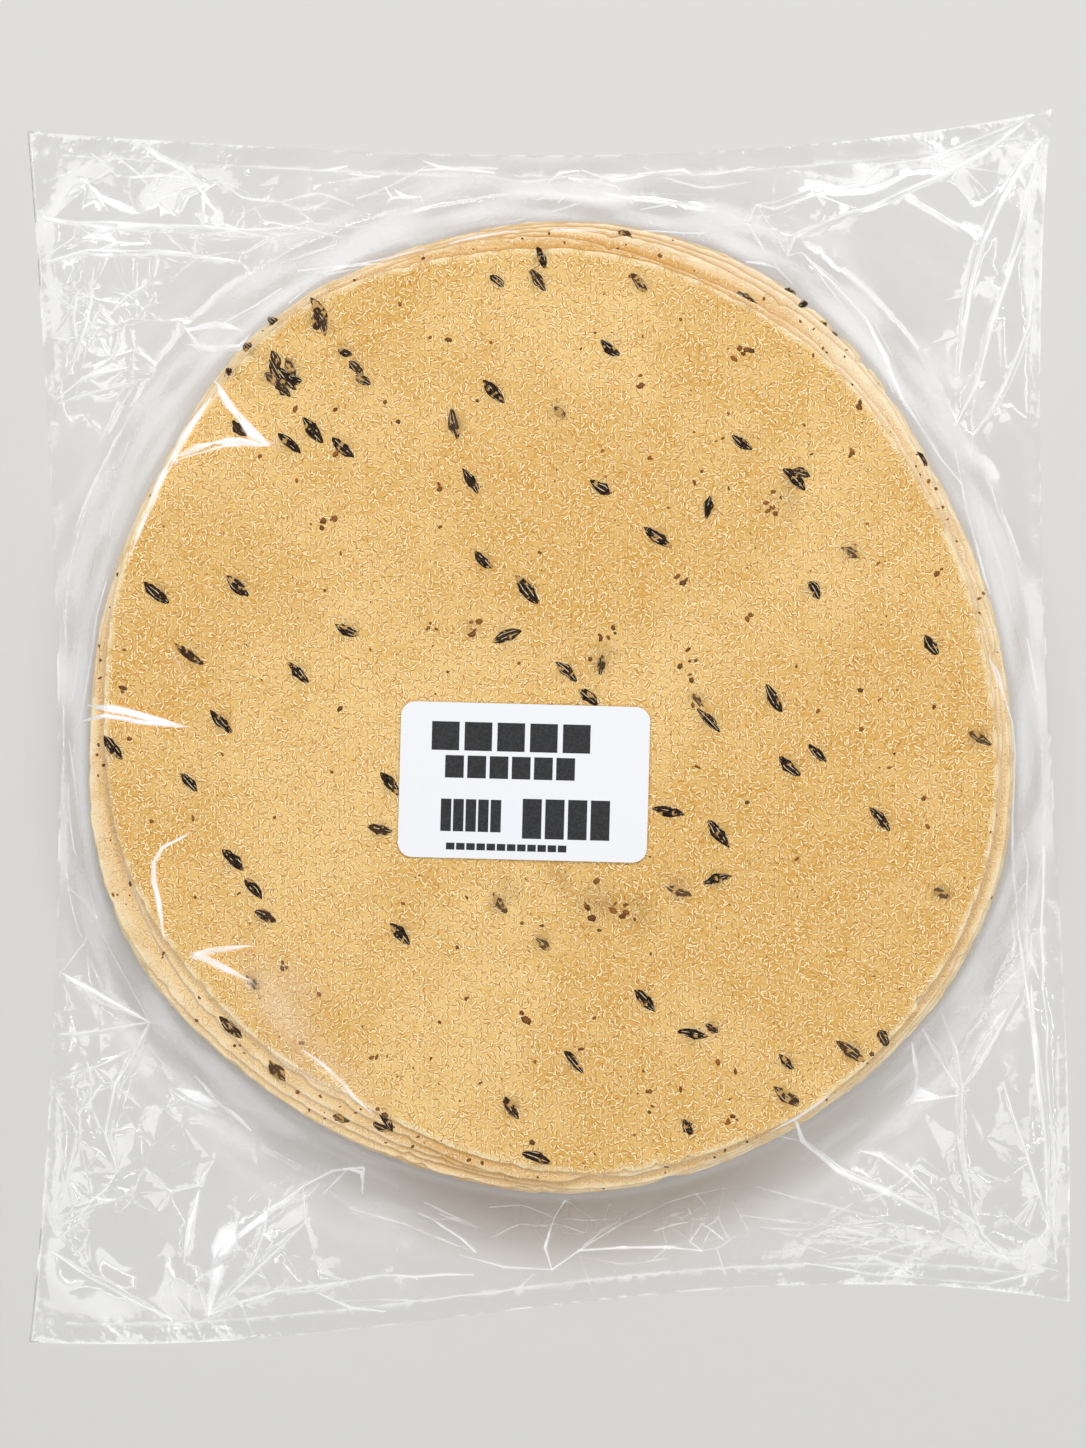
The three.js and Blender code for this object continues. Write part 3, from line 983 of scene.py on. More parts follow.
for ridge in ridges:
    away = distance_to_line(fold_middles, np.array([ridge.start, ridge.end]))
    from_traced = np.minimum(from_traced, away)
for start, end, middle, away in zip(fold_starts, fold_ends, fold_middles, from_traced):
    share = crumpling(*middle)[2]
    too_long = math.dist(start, end) > LONGEST_RANDOM_FOLD
    if away < CLEAR_OF_TRACED or too_long or not inside_margin(*middle):
        continue
    if draw.random() > 0.2 + 0.6 * share:
        continue
    white = max(0.0, draw.uniform(-0.5, 0.35)) * share
    tall = draw.uniform(0.02, 0.12)
    half_widths = (RANDOM_HALF_WIDTH * draw.uniform(0.6, 1.2), RANDOM_HALF_WIDTH * draw.uniform(0.6, 1.2))
    ridges.append(Ridge(start, end, (tall, tall), half_widths, white))
print(traced_count, "traced folds and", len(ridges) - traced_count, "random ones")


def ridge_heights(points):
    """How far the ridges raise each point, how white the fold or painted glare is there, and how dull."""
    raised = np.zeros(len(points))
    whitened = np.zeros(len(points))
    dulled = np.zeros(len(points))
    for ridge in ridges:
        near = np.flatnonzero(ridge.box_holds(points))
        if not len(near):
            continue
        along = ridge.end - ridge.start
        reach = points[near] - ridge.start
        share = np.clip((reach @ along) / max(along @ along, 1e-9), 0, 1)
        gap = reach - share[:, None] * along
        half_width = ridge.half_widths[0] * (1 - share) + ridge.half_widths[1] * share
        fade = np.clip(1 - np.hypot(gap[:, 0], gap[:, 1]) / half_width, 0, 1)
        tall = ridge.heights[0] * (1 - share) + ridge.heights[1] * share
        raised[near] = np.maximum(raised[near], tall * fade)
        shown = np.minimum(1.0, 2.0 * fade)
        whitened[near] = np.maximum(whitened[near], ridge.white * shown)
        dulled[near] = np.maximum(dulled[near], -ridge.white * shown)
    return raised, whitened, dulled


print("ridges can be measured")

# %% [markdown]
# The fine mesh of each sheet is a constrained Delaunay triangulation too. Its lines follow
# every fold three times, along the crest and at the foot of the ridge on both sides, so the
# fold stays sharp with few triangles. Between them lie loose points, closer where the film
# bends over the rims.

# %% Points and lines of a sheet
LINE_STEP = 1.4
EDGE_CLEAR = 0.9
GRID_HALF_WIDTH = 88.0
GRID_HALF_LENGTH = 104.0


class SheetMap:
    """The points and the kept lines of one sheet of film."""

    def __init__(self):
        self.points = []
        self.edges = []

    def line(self, points, closed=False):
        first = len(self.points)
        self.points += [Vector((float(x), float(y))) for x, y in points]
        last = len(self.points)
        self.edges += [(number, number + 1) for number in range(first, last - 1)]
        if closed:
            self.edges.append((last - 1, first))

    def line_inside(self, points):
        """A line without its points on or outside the bag's edge."""
        turn, radius = from_centre(points[:, 0], points[:, 1])
        inside = radius < edge_reach(turn) - EDGE_CLEAR
        breaks = np.flatnonzero(np.diff(inside.astype(int))) + 1
        for run, kept in zip(np.split(points, breaks), np.split(inside, breaks)):
            if kept[0] and len(run) > 1:
                self.line(run)

    def scatter(self, points):
        self.points += [Vector((float(x), float(y))) for x, y in points]

    def triangulate(self):
        """The sheet's points and triangles, without those in the hollows outside the outline."""
        found = delaunay_2d_cdt(self.points, self.edges, [], 1, 1e-3, False)
        points = np.array([(place.x, place.y) for place in found[0]])
        closed = np.concatenate((outline, outline[:1]))
        on_edge = distance_to_line(points, closed) < 0.01
        return points, [face for face in found[2] if not all(on_edge[number] for number in face)]


def stepped(start, end, step):
    """Evenly spaced points from start to end."""
    count = max(1, round(float(np.hypot(*(end - start))) / step))
    shares = np.linspace(0, 1, count + 1)[:, None]
    return start + shares * (end - start)


def inset(line, depth):
    """A closed line moved inwards by this depth."""
    before = to_the_right(line - np.roll(line, 1, axis=0))
    after = to_the_right(np.roll(line, -1, axis=0) - line)
    return line + depth * (before + after) / (1 + np.sum(before * after, axis=1))[:, None]


def grid_points(step, jitter, keep):
    """A slightly shaken triangular grid over the bag, at the places that keep accepts."""
    rows = []
    across = np.arange(-GRID_HALF_WIDTH, GRID_HALF_WIDTH, step)
    row_step = step * math.sqrt(0.75)
    for index, y in enumerate(np.arange(-GRID_HALF_LENGTH, GRID_HALF_LENGTH, row_step)):
        shift = step / 2 if index % 2 else 0.0
        rows.append(np.stack((across + shift, np.full(len(across), y)), axis=1))
    points = np.concatenate(rows)
    shaken = np.random.default_rng(SEED).uniform(-jitter, jitter, points.shape)
    points = points + shaken * step
    turn, radius = from_centre(points[:, 0], points[:, 1])
    edge = edge_reach(turn)
    return points[keep(radius, edge) & (radius < edge - EDGE_CLEAR)]


def away_from_ridges(points, gap):
    """The points that aren't within this gap of a ridge."""
    far = np.ones(len(points), dtype=bool)
    for ridge in ridges:
        near = np.flatnonzero(far & ridge.box_holds(points, gap))
        if len(near):
            away = distance_to_line(points[near], np.array([ridge.start, ridge.end]))
            far[near[away < ridge.half_width + gap]] = False
    return points[far]


print("sheets are planned with points and lines")

# %% [markdown]
# The front sheet carries the folds. The back sheet lies on the table and under the stack, so
# it needs only the outline, the weld lines and soft waves. Both share the outline's points,
# and merging those closes the film into one envelope.

# %% The front and back sheets
RINGS_AT_TOP_RIM = (-2.2, -1.4, -0.8, -0.4, -0.1, 0.2, 0.6)
RINGS_ON_LEDGES = 6
RINGS_OUTSIDE = (-0.3, 0.1, 0.6, 1.2, 1.9, 2.7, 3.6, 4.6, 5.7, 6.9, 8.2, 9.6, 11.0, 12.5)
RIM_SPOKES = 420
STACK_GRID_REACH = 67.5
MARGIN_GRID_FROM = 89.5
MARGIN_STEP = 1.25
STACK_GRID_STEP = 2.4
BACK_STEP = 3.2
INSETS = (0.5, 1.6)
WELD_STEP = 0.5
CLEAR_OF_WALL = 0.5
CLEAR_OF_TOP_RIM = 1.0
BAND_INSIDE_EDGE = 2.2


def sheet_frame(sheet):
    """The lines that both sheets share: the outline, two lines inside it and the welds."""
    sheet.line(outline, closed=True)
    for depth in INSETS:
        sheet.line(inset(outline, depth), closed=True)
    for name in ("top", "bottom"):
        line = side_lines[name]
        normal = to_the_right(line[1:] - line[:-1])
        for depth in (SEAL_WIDTH, SEAL_WIDTH + WELD_STEP):
            sheet.line((line[:-1] + normal * depth)[4:-3])


def rim_band():
    """Rings of points that follow the top rim, the slope over the ledges and its foot."""
    turns = np.linspace(-math.pi, math.pi, RIM_SPOKES, endpoint=False)
    edge = edge_reach(turns)
    top = papad_rim(0, turns)
    wall = papad_rim(SHOWN_PAPADS - 1, turns)
    rings = [(top + offset, np.full(len(turns), True)) for offset in RINGS_AT_TOP_RIM]
    for share in np.linspace(0, 1, RINGS_ON_LEDGES + 2)[1:-1]:
        radii = top + (wall - top) * share
        rings.append((radii, (radii > top + CLEAR_OF_TOP_RIM) & (radii < wall - CLEAR_OF_WALL)))
    rings += [(wall + offset, wall + offset > top + CLEAR_OF_TOP_RIM) for offset in RINGS_OUTSIDE]
    places = []
    for index, (radii, wanted) in enumerate(rings):
        shifted = turns + (math.pi / RIM_SPOKES if index % 2 else 0.0)
        places.append(places_at(shifted, radii)[wanted & (radii < edge - BAND_INSIDE_EDGE)])
    return np.concatenate(places)


front = SheetMap()
sheet_frame(front)
for ridge in ridges:
    along = (ridge.end - ridge.start) / max(ridge.length(), 1e-6)
    normal = np.array([along[1], -along[0]])
    for side in (-1, 0, 1) if ridge.half_width < BROAD_RIDGE else (-1, -0.5, 0, 0.5, 1):
        first, last = (normal * side * half_width for half_width in ridge.half_widths)
        front.line_inside(stepped(ridge.start + first, ridge.end + last, LINE_STEP))
front.scatter(away_from_ridges(rim_band(), 0.25))
stack_grid = grid_points(STACK_GRID_STEP, 0.1, lambda radius, edge: radius < STACK_GRID_REACH)
front.scatter(away_from_ridges(stack_grid, 0.5))
margin_grid = grid_points(MARGIN_STEP, 0.2, lambda radius, edge: radius > MARGIN_GRID_FROM)
front.scatter(away_from_ridges(margin_grid, 0.3))
front_points, front_faces = front.triangulate()
back = SheetMap()
sheet_frame(back)
back.scatter(grid_points(BACK_STEP, 0.15, lambda radius, edge: radius < edge - 3))
back_points, back_faces = back.triangulate()
print("front sheet", len(front_faces), "triangles, back sheet", len(back_faces))

# %% [markdown]
# Now each point gets its height: the calm shape, plus facets and ridges, all fading to
# nothing at the welds and folds. The front sheet never sinks into the papads below it.

# %% Heights of both sheets
FILM_RIPPLE_SIZE = 7.0
FILM_RIPPLE = 0.16
FILM_LEAST_GAP = 0.12
LEAST_MEETING = 0.12
LEAST_BACK = 0.02
STACK_WAVE_TO = 71.0
STACK_WAVE_FADE = 8.0
BACK_FLAT_TO = 78.0
BACK_FLAT_FADE = 6.0
BACK_WAVE = 0.5
BACK_WAVE_SIZE = 9.0
WELD_WAVE_SIZE = 6.5
WELD_WAVE = 0.25
WELD_CRINKLE = 0.05
WELD_CRINKLE_SIZE = 0.9
WORN_PATCH_SIZE = 5.0
LEAST_WORN = 0.6
WELD_LINE_WHITE = 0.4
EDGE_WHITE = 0.3
EDGE_LINE = 0.5
CALM_EDGE = 2.2
FOOT_SHADE = 0.62
FOOT_SHADE_REACH = 16.0
SHADE_LONGER_BELOW = 12.0
SHADE_ALL_ROUND = 0.02
DARKEST_TURN = math.radians(275)
FOOT_PAINTED_LIGHT = 0.30
MARGIN_HAZE = 0.10
STREAKS_PER_TURN = 7.0
STREAK_WIDTH = 2.8
# Painted highlights: pale veils of glare where the film lifts off the top papad: middle pixel,
# reach along and across in mm, the way it runs in degrees, and how white its middle is.
PAINTED_VEILS = [(282, 1012, 10.0, 3.4, -58, 0.24), (300, 985, 5.0, 2.4, -50, 0.14), (330, 1065, 8.0, 2.6, -42, 0.14)]


def waves(points):
    return np.array([stack_wave(x, y) for x, y in points])


def meeting_heights(points, meeting, edge, side):
    """Heights of one sheet where both are welded, on the edge line and a hair off it inside."""
    waved = np.maximum(LEAST_MEETING, meeting + WELD_WAVE * ripple(points, WELD_WAVE_SIZE, 17.7))
    crinkled = waved + WELD_CRINKLE * ripple(points, WELD_CRINKLE_SIZE, 23.1)
    return np.where(edge < 0.01, waved, crinkled + side * SHEET_GAP)


def rim_streaks(turns, radii):
    """Soft streaks that run round the stack, which vary the haze and painted light: 0 to 1 for each point."""
    found = [round_noise(turn, STREAKS_PER_TURN, across) for turn, across in zip(turns, radii / STREAK_WIDTH)]
    return smooth(np.array(found) + 0.5)


def painted_veil_white(points):
    """How white the painted veils of glare make each point."""
    white = np.zeros(len(points))
    for across, down, along, aside, degrees, strength in PAINTED_VEILS:
        away = points - seen_on_film([(across, down)])[0]
        turn = math.radians(degrees)
        ahead = (away @ (math.cos(turn), math.sin(turn))) / along
        beside = (away @ (-math.sin(turn), math.cos(turn))) / aside
        white = np.maximum(white, strength * np.exp(-(ahead**2) - beside**2))
    return white


def front_heights(points):
    """Heights of the front sheet, how white each point is with its painted glare and light, and how dull with
    its painted shade.
    """
    calm, below, meeting = film_base(points[:, 0], points[:, 1])
    rise, ends, sides = film_rise(points)
    turn, radius = from_centre(points[:, 0], points[:, 1])
    on_stack = 1 - smooth((radius - STACK_WAVE_TO) / STACK_WAVE_FADE)
    ridge_rise, white, dull_and_shade = ridge_heights(points)
    ripples = FILM_RIPPLE * ripple(points, FILM_RIPPLE_SIZE, 11.3) * (1 - on_stack)
    full = calm + waves(points) * on_stack + facet_heights(points) + ridge_rise + ripples
    full = np.maximum(full, below + FILM_LEAST_GAP)
    edge = np.minimum(ends, sides)
    welded = meeting_heights(points, meeting, edge, 1)
    patches = LEAST_WORN + (1 - LEAST_WORN) * smooth((ripple(points, WORN_PATCH_SIZE, 31.9) + 0.35) / 0.5)
    white = white * patches * np.clip(edge / CALM_EDGE, 0, 1)
    # The bag's edge is whitened: partly a worn fold, partly painted highlight.
    white = np.maximum(white, EDGE_WHITE * patches * np.clip(1 - edge / EDGE_LINE, 0, 1))
    white = np.maximum(white, WELD_LINE_WHITE * patches * (np.abs(ends - SEAL_WIDTH) < 0.1))
    wall = papad_rim(SHOWN_PAPADS - 1, turn)
    # Painted shade and painted reflection of the rims: the film is darker and warmer near the stack's foot,
    # most towards the bottom.
    from_bottom = np.clip(np.cos(turn - DARKEST_TURN), 0, 1) ** 4
    near_foot = 1 - smooth((radius - wall) / (FOOT_SHADE_REACH + SHADE_LONGER_BELOW * from_bottom))
    outside = smooth((radius - wall + 0.5) / 2.4)
    shade = outside * near_foot * (SHADE_ALL_ROUND + (FOOT_SHADE - SHADE_ALL_ROUND) * from_bottom)
    # Painted light: white haze, strongest near the stack's foot but not below it, lifts the shade there;
    # further out it is partly the film's own milkiness.
    haze_and_painted_light = outside * (MARGIN_HAZE + FOOT_PAINTED_LIGHT * near_foot) * (1 - from_bottom)
    haze_and_painted_light = np.maximum(haze_and_painted_light * (0.35 + 1.2 * rim_streaks(turn, radius)), painted_veil_white(points))
    return welded + (full - welded) * rise, np.maximum(white, haze_and_painted_light), np.maximum(dull_and_shade, shade)


def back_heights(points):
    """Heights of the back sheet: flat under the stack, in soft waves outside it."""
    _, below, meeting = film_base(points[:, 0], points[:, 1])
    rise, ends, sides = film_rise(points)
    _, radius = from_centre(points[:, 0], points[:, 1])
    in_margin = smooth((radius - BACK_FLAT_TO) / BACK_FLAT_FADE)
    waved = below + BACK_WAVE * in_margin * np.abs(ripple(points, BACK_WAVE_SIZE, 5.1))
    welded = meeting_heights(points, meeting, np.minimum(ends, sides), -1)
    return np.maximum(LEAST_BACK, welded + (waved - welded) * rise)


front_z, front_white_and_glare, front_dull_and_shade = front_heights(front_points)
back_z = back_heights(back_points)
print("front sheet heights", front_z.min().round(2), "to", front_z.max().round(2), "mm")

# %% [markdown]
# Every piece ends the same way: millimetres become metres, the mesh is smooth-shaded unless
# it is flat paper, the piece rides on the one body and gets its finish, and the solid it stands
# for is hidden.


# %% Finishing a piece
def mesh_data(name, mesh):
    """Mesh data made from a bmesh, which is freed."""
    data = bpy.data.meshes.new(name)
    mesh.to_mesh(data)
    mesh.free()
    return data


def new_object(name, data):
    """An object in the scene, at the origin."""
    made = bpy.data.objects.new(name, data)
    bpy.context.scene.collection.objects.link(made)
    return made


def new_layers(mesh, *names):
    """A number for every point of a bmesh, under each of these names."""
    return [mesh.verts.layers.float.new(name) for name in names]


def make_piece(name, mesh_in_mm, material, replaced, rounded=True):
    """Turn a bmesh in millimetres into a finished piece."""
    bmesh.ops.transform(mesh_in_mm, matrix=Matrix.Scale(MM, 4), verts=mesh_in_mm.verts)
    data = mesh_data(name, mesh_in_mm)
    data.materials.append(material)
    if rounded:
        data.shade_smooth()
    piece = new_object(name, data)
    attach(piece, "root")
    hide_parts(replaced)
    return piece


print("pieces can be finished")

# %% [markdown]
# Clear film is almost all see-through. It mirrors a little of the light head on and nearly
# all of it at a grazing angle, so a low alpha with a mirror finish gives it. Where a fold is
# worn the film turns white in every light, so there the alpha goes up and the mirror becomes
# a matt white. The same white also carries painted highlights and painted light: glares,
# veils, haze and the bag's pale edge. A few soft folds only look dull. Near the stack's foot,
# most towards the bottom, the film is painted darker and warmer: painted shade and a painted
# reflection of the papads' rims. Where film clings to the dough, its own gloss hardly shows.
# What clear film turns aside still lands near by, so the film casts no shadow.


# %% Film material
def film_material():
    finish = Finish("clear film")
    facing = finish.add("LayerWeight", {}, {"Blend": 0.5}, output="Facing")
    worn_and_glare = finish.attribute("worn_and_glare")
    dull_and_shade = finish.attribute("dull_and_shade")
    weld = finish.attribute("weld")
    cling = finish.attribute("cling")
    crinkle = finish.noise(finish.place(), 1.3, detail=1.0)
    mirrored = (0.050 + 0.85 * facing**4.0) * (1 - 0.85 * cling)
    alpha = mirrored + worn_and_glare + dull_and_shade * 0.4 + weld * 0.03
    sockets = {
        # White for worn folds and painted highlights; warm brown for painted shade near the stack's foot.
        "Base Color": finish.blend((dull_and_shade - worn_and_glare) * 2.0, (0.985, 0.985, 0.985, 1.0), colour(160, 130, 92)),
        "Metallic": 1 - ((worn_and_glare + dull_and_shade) * 3.0).math("MINIMUM", 1.0),
        "Roughness": 0.08 + worn_and_glare * 0.4,
        "Alpha": alpha.math("MINIMUM", 1.0),
        "Normal": finish.bump(crinkle * (0.3 + weld * 0.25), 0.0002, 0.5),
    }
    return finish.done(sockets)


film_finish = film_material()
print("film material has", len(film_finish.node_tree.nodes), "nodes")

# %% [markdown]
# Both sheets go into one mesh with four numbers on every point, which the finish reads: how
# worn or painted with glare and light, how dull or painted with shade, how much in a weld and
# how close to the dough. The points on the outline are shared, so merging them closes the
# envelope.

# %% The bag of film
CLING_FADE = 0.8


def film_mesh():
    """The front and the back sheet as one closed envelope, sharp along its edge."""
    mesh = bmesh.new()
    worn_and_glare, dull_and_shade, weld, cling = new_layers(mesh, "worn_and_glare", "dull_and_shade", "weld", "cling")
    clean = np.zeros(len(back_points))
    sheets = (
        (front_points, front_z, front_faces, front_white_and_glare, front_dull_and_shade, False),
        (back_points, back_z, back_faces, clean, clean, True),
    )
    for points, heights, faces, whites, dulls, turned in sheets:
        ends = film_rise(points)[1]
        turn, radius = from_centre(points[:, 0], points[:, 1])
        clings = 1 - smooth((radius - papad_rim(SHOWN_PAPADS - 1, turn)) / CLING_FADE)
        verts = []
        for (x, y), z, white, dim_and_shade, end, held in zip(points, heights, whites, dulls, ends, clings):
            vert = mesh.verts.new((x, y, z))
            vert[cling] = held
            vert[worn_and_glare] = white
            vert[dull_and_shade] = dim_and_shade
            vert[weld] = float(1 - smooth((end - SEAL_WIDTH + 0.3) / 0.8))
            verts.append(vert)
        for face in faces:
            corners = [verts[number] for number in face]
            mesh.faces.new(reversed(corners) if turned else corners)
    bmesh.ops.remove_doubles(mesh, verts=mesh.verts, dist=0.0005)
    mesh.faces.ensure_lookup_table()
    fronts = set(mesh.faces[:len(front_faces)])
    for edge in mesh.edges:
        edge.smooth = len(set(edge.link_faces) & fronts) != 1
    return mesh


bag = film_mesh()
open_edges = [edge for edge in bag.edges if not edge.is_manifold]
print("film", len(bag.faces), "triangles,", len(open_edges), "open edges")
film = make_piece("bag_film", bag, film_finish, "bag")
film.visible_shadow = False

# %% [markdown]
# A papad is a thin round of dried dough. Spinning its profile, a flat top, a rounded rim and
# a flat underside, makes a perfect disc. Each point is then moved to the real rim, which was
# rolled and cut by hand, and with the wave that the whole stack shares.

# %% Papad shapes
TOP_RINGS = 62
TOP_STEPS = 640
HIDDEN_STEPS = 160
LEDGE_STEPS = 520
LEDGE_SHARES = [0.0, 0.5, 0.8, 0.90, 0.92, 0.94, 0.96, 0.98]
RIM_SHARES = [
    (0.9972, 0.0), (0.9982, 0.04), (0.9990, 0.12), (0.9996, 0.24),
    (1.0, 0.38), (0.9990, 0.48), (0.9960, 0.52),
]
# On a ledge, the last flat rings are moved to these distances from the rim above.
TUCK_RINGS = {0.92: -0.4, 0.94: 0.05, 0.96: 0.35, 0.98: 0.8}
TUCK_REACH = 0.7
UNDER_SHARES = [0.97, 0.9, 0.5, 0.0]


def jagged(turn, salt):
    """How far a hand-cut rim strays at a turn, in mm."""
    large = round_noise(turn, 3.1, salt)
    small = round_noise(turn, 15.0, salt + 40)
    tiny = round_noise(turn, 70.0, salt + 80)
    chipped = max(0.0, round_noise(turn, 30.0, salt + 60) - 0.25)
    return RIM_STRAYS * large + 0.6 * RIM_JAGS * small + 0.5 * RIM_JAGS * tiny - 2.4 * RIM_JAGS * chipped


def nicks(turn, places):
    """How far small nicks cut into a rim: each has a turn in degrees, a width and a depth in mm."""
    depth = 0.0
    for degrees, width, deep in places:
        away = math.remainder(turn - math.radians(degrees), 2 * math.pi) * TOP_RADIUS / width
        depth += deep * math.exp(-away * away)
    return depth


def spun_disc(shares, steps):
    """A closed disc of radius 1 and the papad's thickness, with its top at height 0."""
    mesh = bmesh.new()
    profile = [(share, 0.0) for share in shares]
    profile += [(share, -down) for share, down in RIM_SHARES]
    profile += [(share, -PAPAD_THICK) for share in UNDER_SHARES]
    points = [mesh.verts.new((share, 0, height)) for share, height in profile]
    lines = [mesh.edges.new(pair) for pair in zip(points[:-1], points[1:])]
    bmesh.ops.spin(
        mesh, geom=points + lines, cent=(0, 0, 0), axis=(0, 0, 1), dvec=(0, 0, 0),
        angle=2 * math.pi, steps=steps, use_merge=True, use_normal_flip=False, use_duplicate=False,
    )
    bmesh.ops.remove_doubles(mesh, verts=mesh.verts, dist=1e-6)
    bmesh.ops.recalc_face_normals(mesh, faces=mesh.faces)
    return mesh


TOP_NICKS = [(322, 0.8, 1.0), (283, 0.7, 0.6), (287, 0.6, 0.6), (279, 0.6, 0.5), (205, 0.8, 0.4)]
OUTER_NICKS = [
    (43, 1.3, 0.7), (48, 0.9, 0.8), (53, 1.5, 0.7), (58, 0.7, 0.6), (203, 1.2, 0.6), (284, 1.4, 0.7),
]
RANDOM_NICKS = 16
TORN_LEDGE = 1
TORN_CORNER = [(275.0, 3.2, 1.3)]
RIM_STRAYS = 0.45
RIM_JAGS = 0.30
TOP_RIM_BAND = 0.55
RIM_BAND_WIDTH = 0.5
CLEAR_OF_RIM = 0.3


def lobe(turn, degrees, width):
    """1 at a turn in degrees, fading to nothing on both sides."""
    away = math.remainder(turn - math.radians(degrees), 2 * math.pi) / math.radians(width)
    return math.exp(-away * away)


def rim_strays(index, turns):
    """How far a papad's rim strays from its smooth line, at many turns."""
    cuts = TOP_NICKS
    if index:
        draw_nick = random.Random(SEED + 10 + index)
        cuts = [
            (draw_nick.uniform(0, 360), draw_nick.uniform(0.4, 1.0), draw_nick.uniform(0.2, 0.7))
            for _ in range(RANDOM_NICKS)
        ]
    if index == TORN_LEDGE:
        cuts += TORN_CORNER
    if index > len(LEDGE_REACHES):
        cuts += OUTER_NICKS
    known = {}
    for turn in turns:
        key = round(float(turn), 5)
        if key not in known:
            known[key] = jagged(turn, index * 3.3) - nicks(turn, cuts)
    return np.array([known[round(float(turn), 5)] for turn in turns])


def real_rim(index, turns):
    """How far a papad reaches at many turns, with all that its rim strays."""
    return papad_rim(index, turns) + rim_strays(index, turns)


def covering_rims(index, turns):
    """How far the papads above this one reach, at many turns."""
    return np.maximum.reduce([real_rim(number, turns) for number in range(max(index, 1))])


def papad_mesh(index):
    """A papad in its place in the stack, with the marks that its finish needs, painted shade and light among
    them.
    """
    top = STACK_TOP - PAPAD_STEP * index
    if index == 0:
        shares = [ring / TOP_RINGS for ring in range(TOP_RINGS)]
        mesh = spun_disc(shares, TOP_STEPS)
    else:
        mesh = spun_disc(LEDGE_SHARES, LEDGE_STEPS if index < SHOWN_PAPADS else HIDDEN_STEPS)
    rim_edge_and_highlight_layer, tuck_shade_layer, pale_and_lit_layer, gold_layer = new_layers(mesh, "rim", "tuck_shade", "pale", "gold")
    band = RIM_BAND_WIDTH if index else TOP_RIM_BAND
    shares = [math.hypot(vert.co.x, vert.co.y) for vert in mesh.verts]
    turns = np.array([math.atan2(vert.co.y, vert.co.x) for vert in mesh.verts])
    rims = real_rim(index, turns)
    above = covering_rims(index, turns)
    tops = papad_rim(0, turns)
    walls = measured_rim(OUTER_REACHES, turns)
    columns = (mesh.verts, shares, turns, rims, above, tops, walls)
    for vert, share, turn, rim, cover, inner, wall in zip(*columns):
        reach = rim * share
        for ring, offset in TUCK_RINGS.items():
            if index and abs(share - ring) < 0.001:
                reach = min(cover + offset, rim - 0.6 - 0.1 * (0.98 - ring))
        x, y = place_at(turn, reach)
        # A pale band along the rim: partly the edge's own paler dough, partly painted highlight.
        vert[rim_edge_and_highlight_layer] = float(smooth((reach - rim + band) / band))
        if index and share > 0.85:
            outward = smooth((reach - inner) / (wall - inner) * 1.8 - 0.5)
            golden = lobe(turn, 84, 26) + 0.8 * lobe(turn, 258, 12)
            misty = 0.25 + 0.75 * lobe(turn, 60, 50)
            near = np.clip(1 - (reach - cover) / TUCK_REACH, 0, 1)
            # Painted shade: the ledge is darker golden close under the rim above, most round 84 and 258
            # degrees.
            vert[tuck_shade_layer] = float(near * min(1.0, 0.15 + golden))
            vert[gold_layer] = float(min(1.0, golden) * (1 - outward))
            # Painted light: elsewhere the ledge is paler close under the rim above, against its shade.
            painted_light_beside_rim = 0.9 * near * (1 - min(1.0, golden))
            vert[pale_and_lit_layer] = float(max(outward * misty, 0.8 * lobe(turn, 48, 9), painted_light_beside_rim))
        vert.co = (x, y, vert.co.z + top + stack_wave(x, y) * wave_share(index))
    return mesh


def surface_under(x, y):
    """The height of the papad surface that shows at a place, and which papad it is."""
    turn, radius = from_centre(x, y)
    for index in range(SHOWN_PAPADS):
        if radius < papad_rim(index, turn) - CLEAR_OF_RIM:
            return STACK_TOP - PAPAD_STEP * index + stack_wave(x, y) * wave_share(index), index
    return 0.0, PAPAD_COUNT


print(SHOWN_PAPADS, "papads show their rims")

# %% [markdown]
# Cumin seeds lie pressed into the dough, so the rolling flattened them. Each traced seed has
# its pixel, how many degrees it leans down to the right, its length in mm, and how clearly it
# shows: 1 on the surface, less where dough covers it.

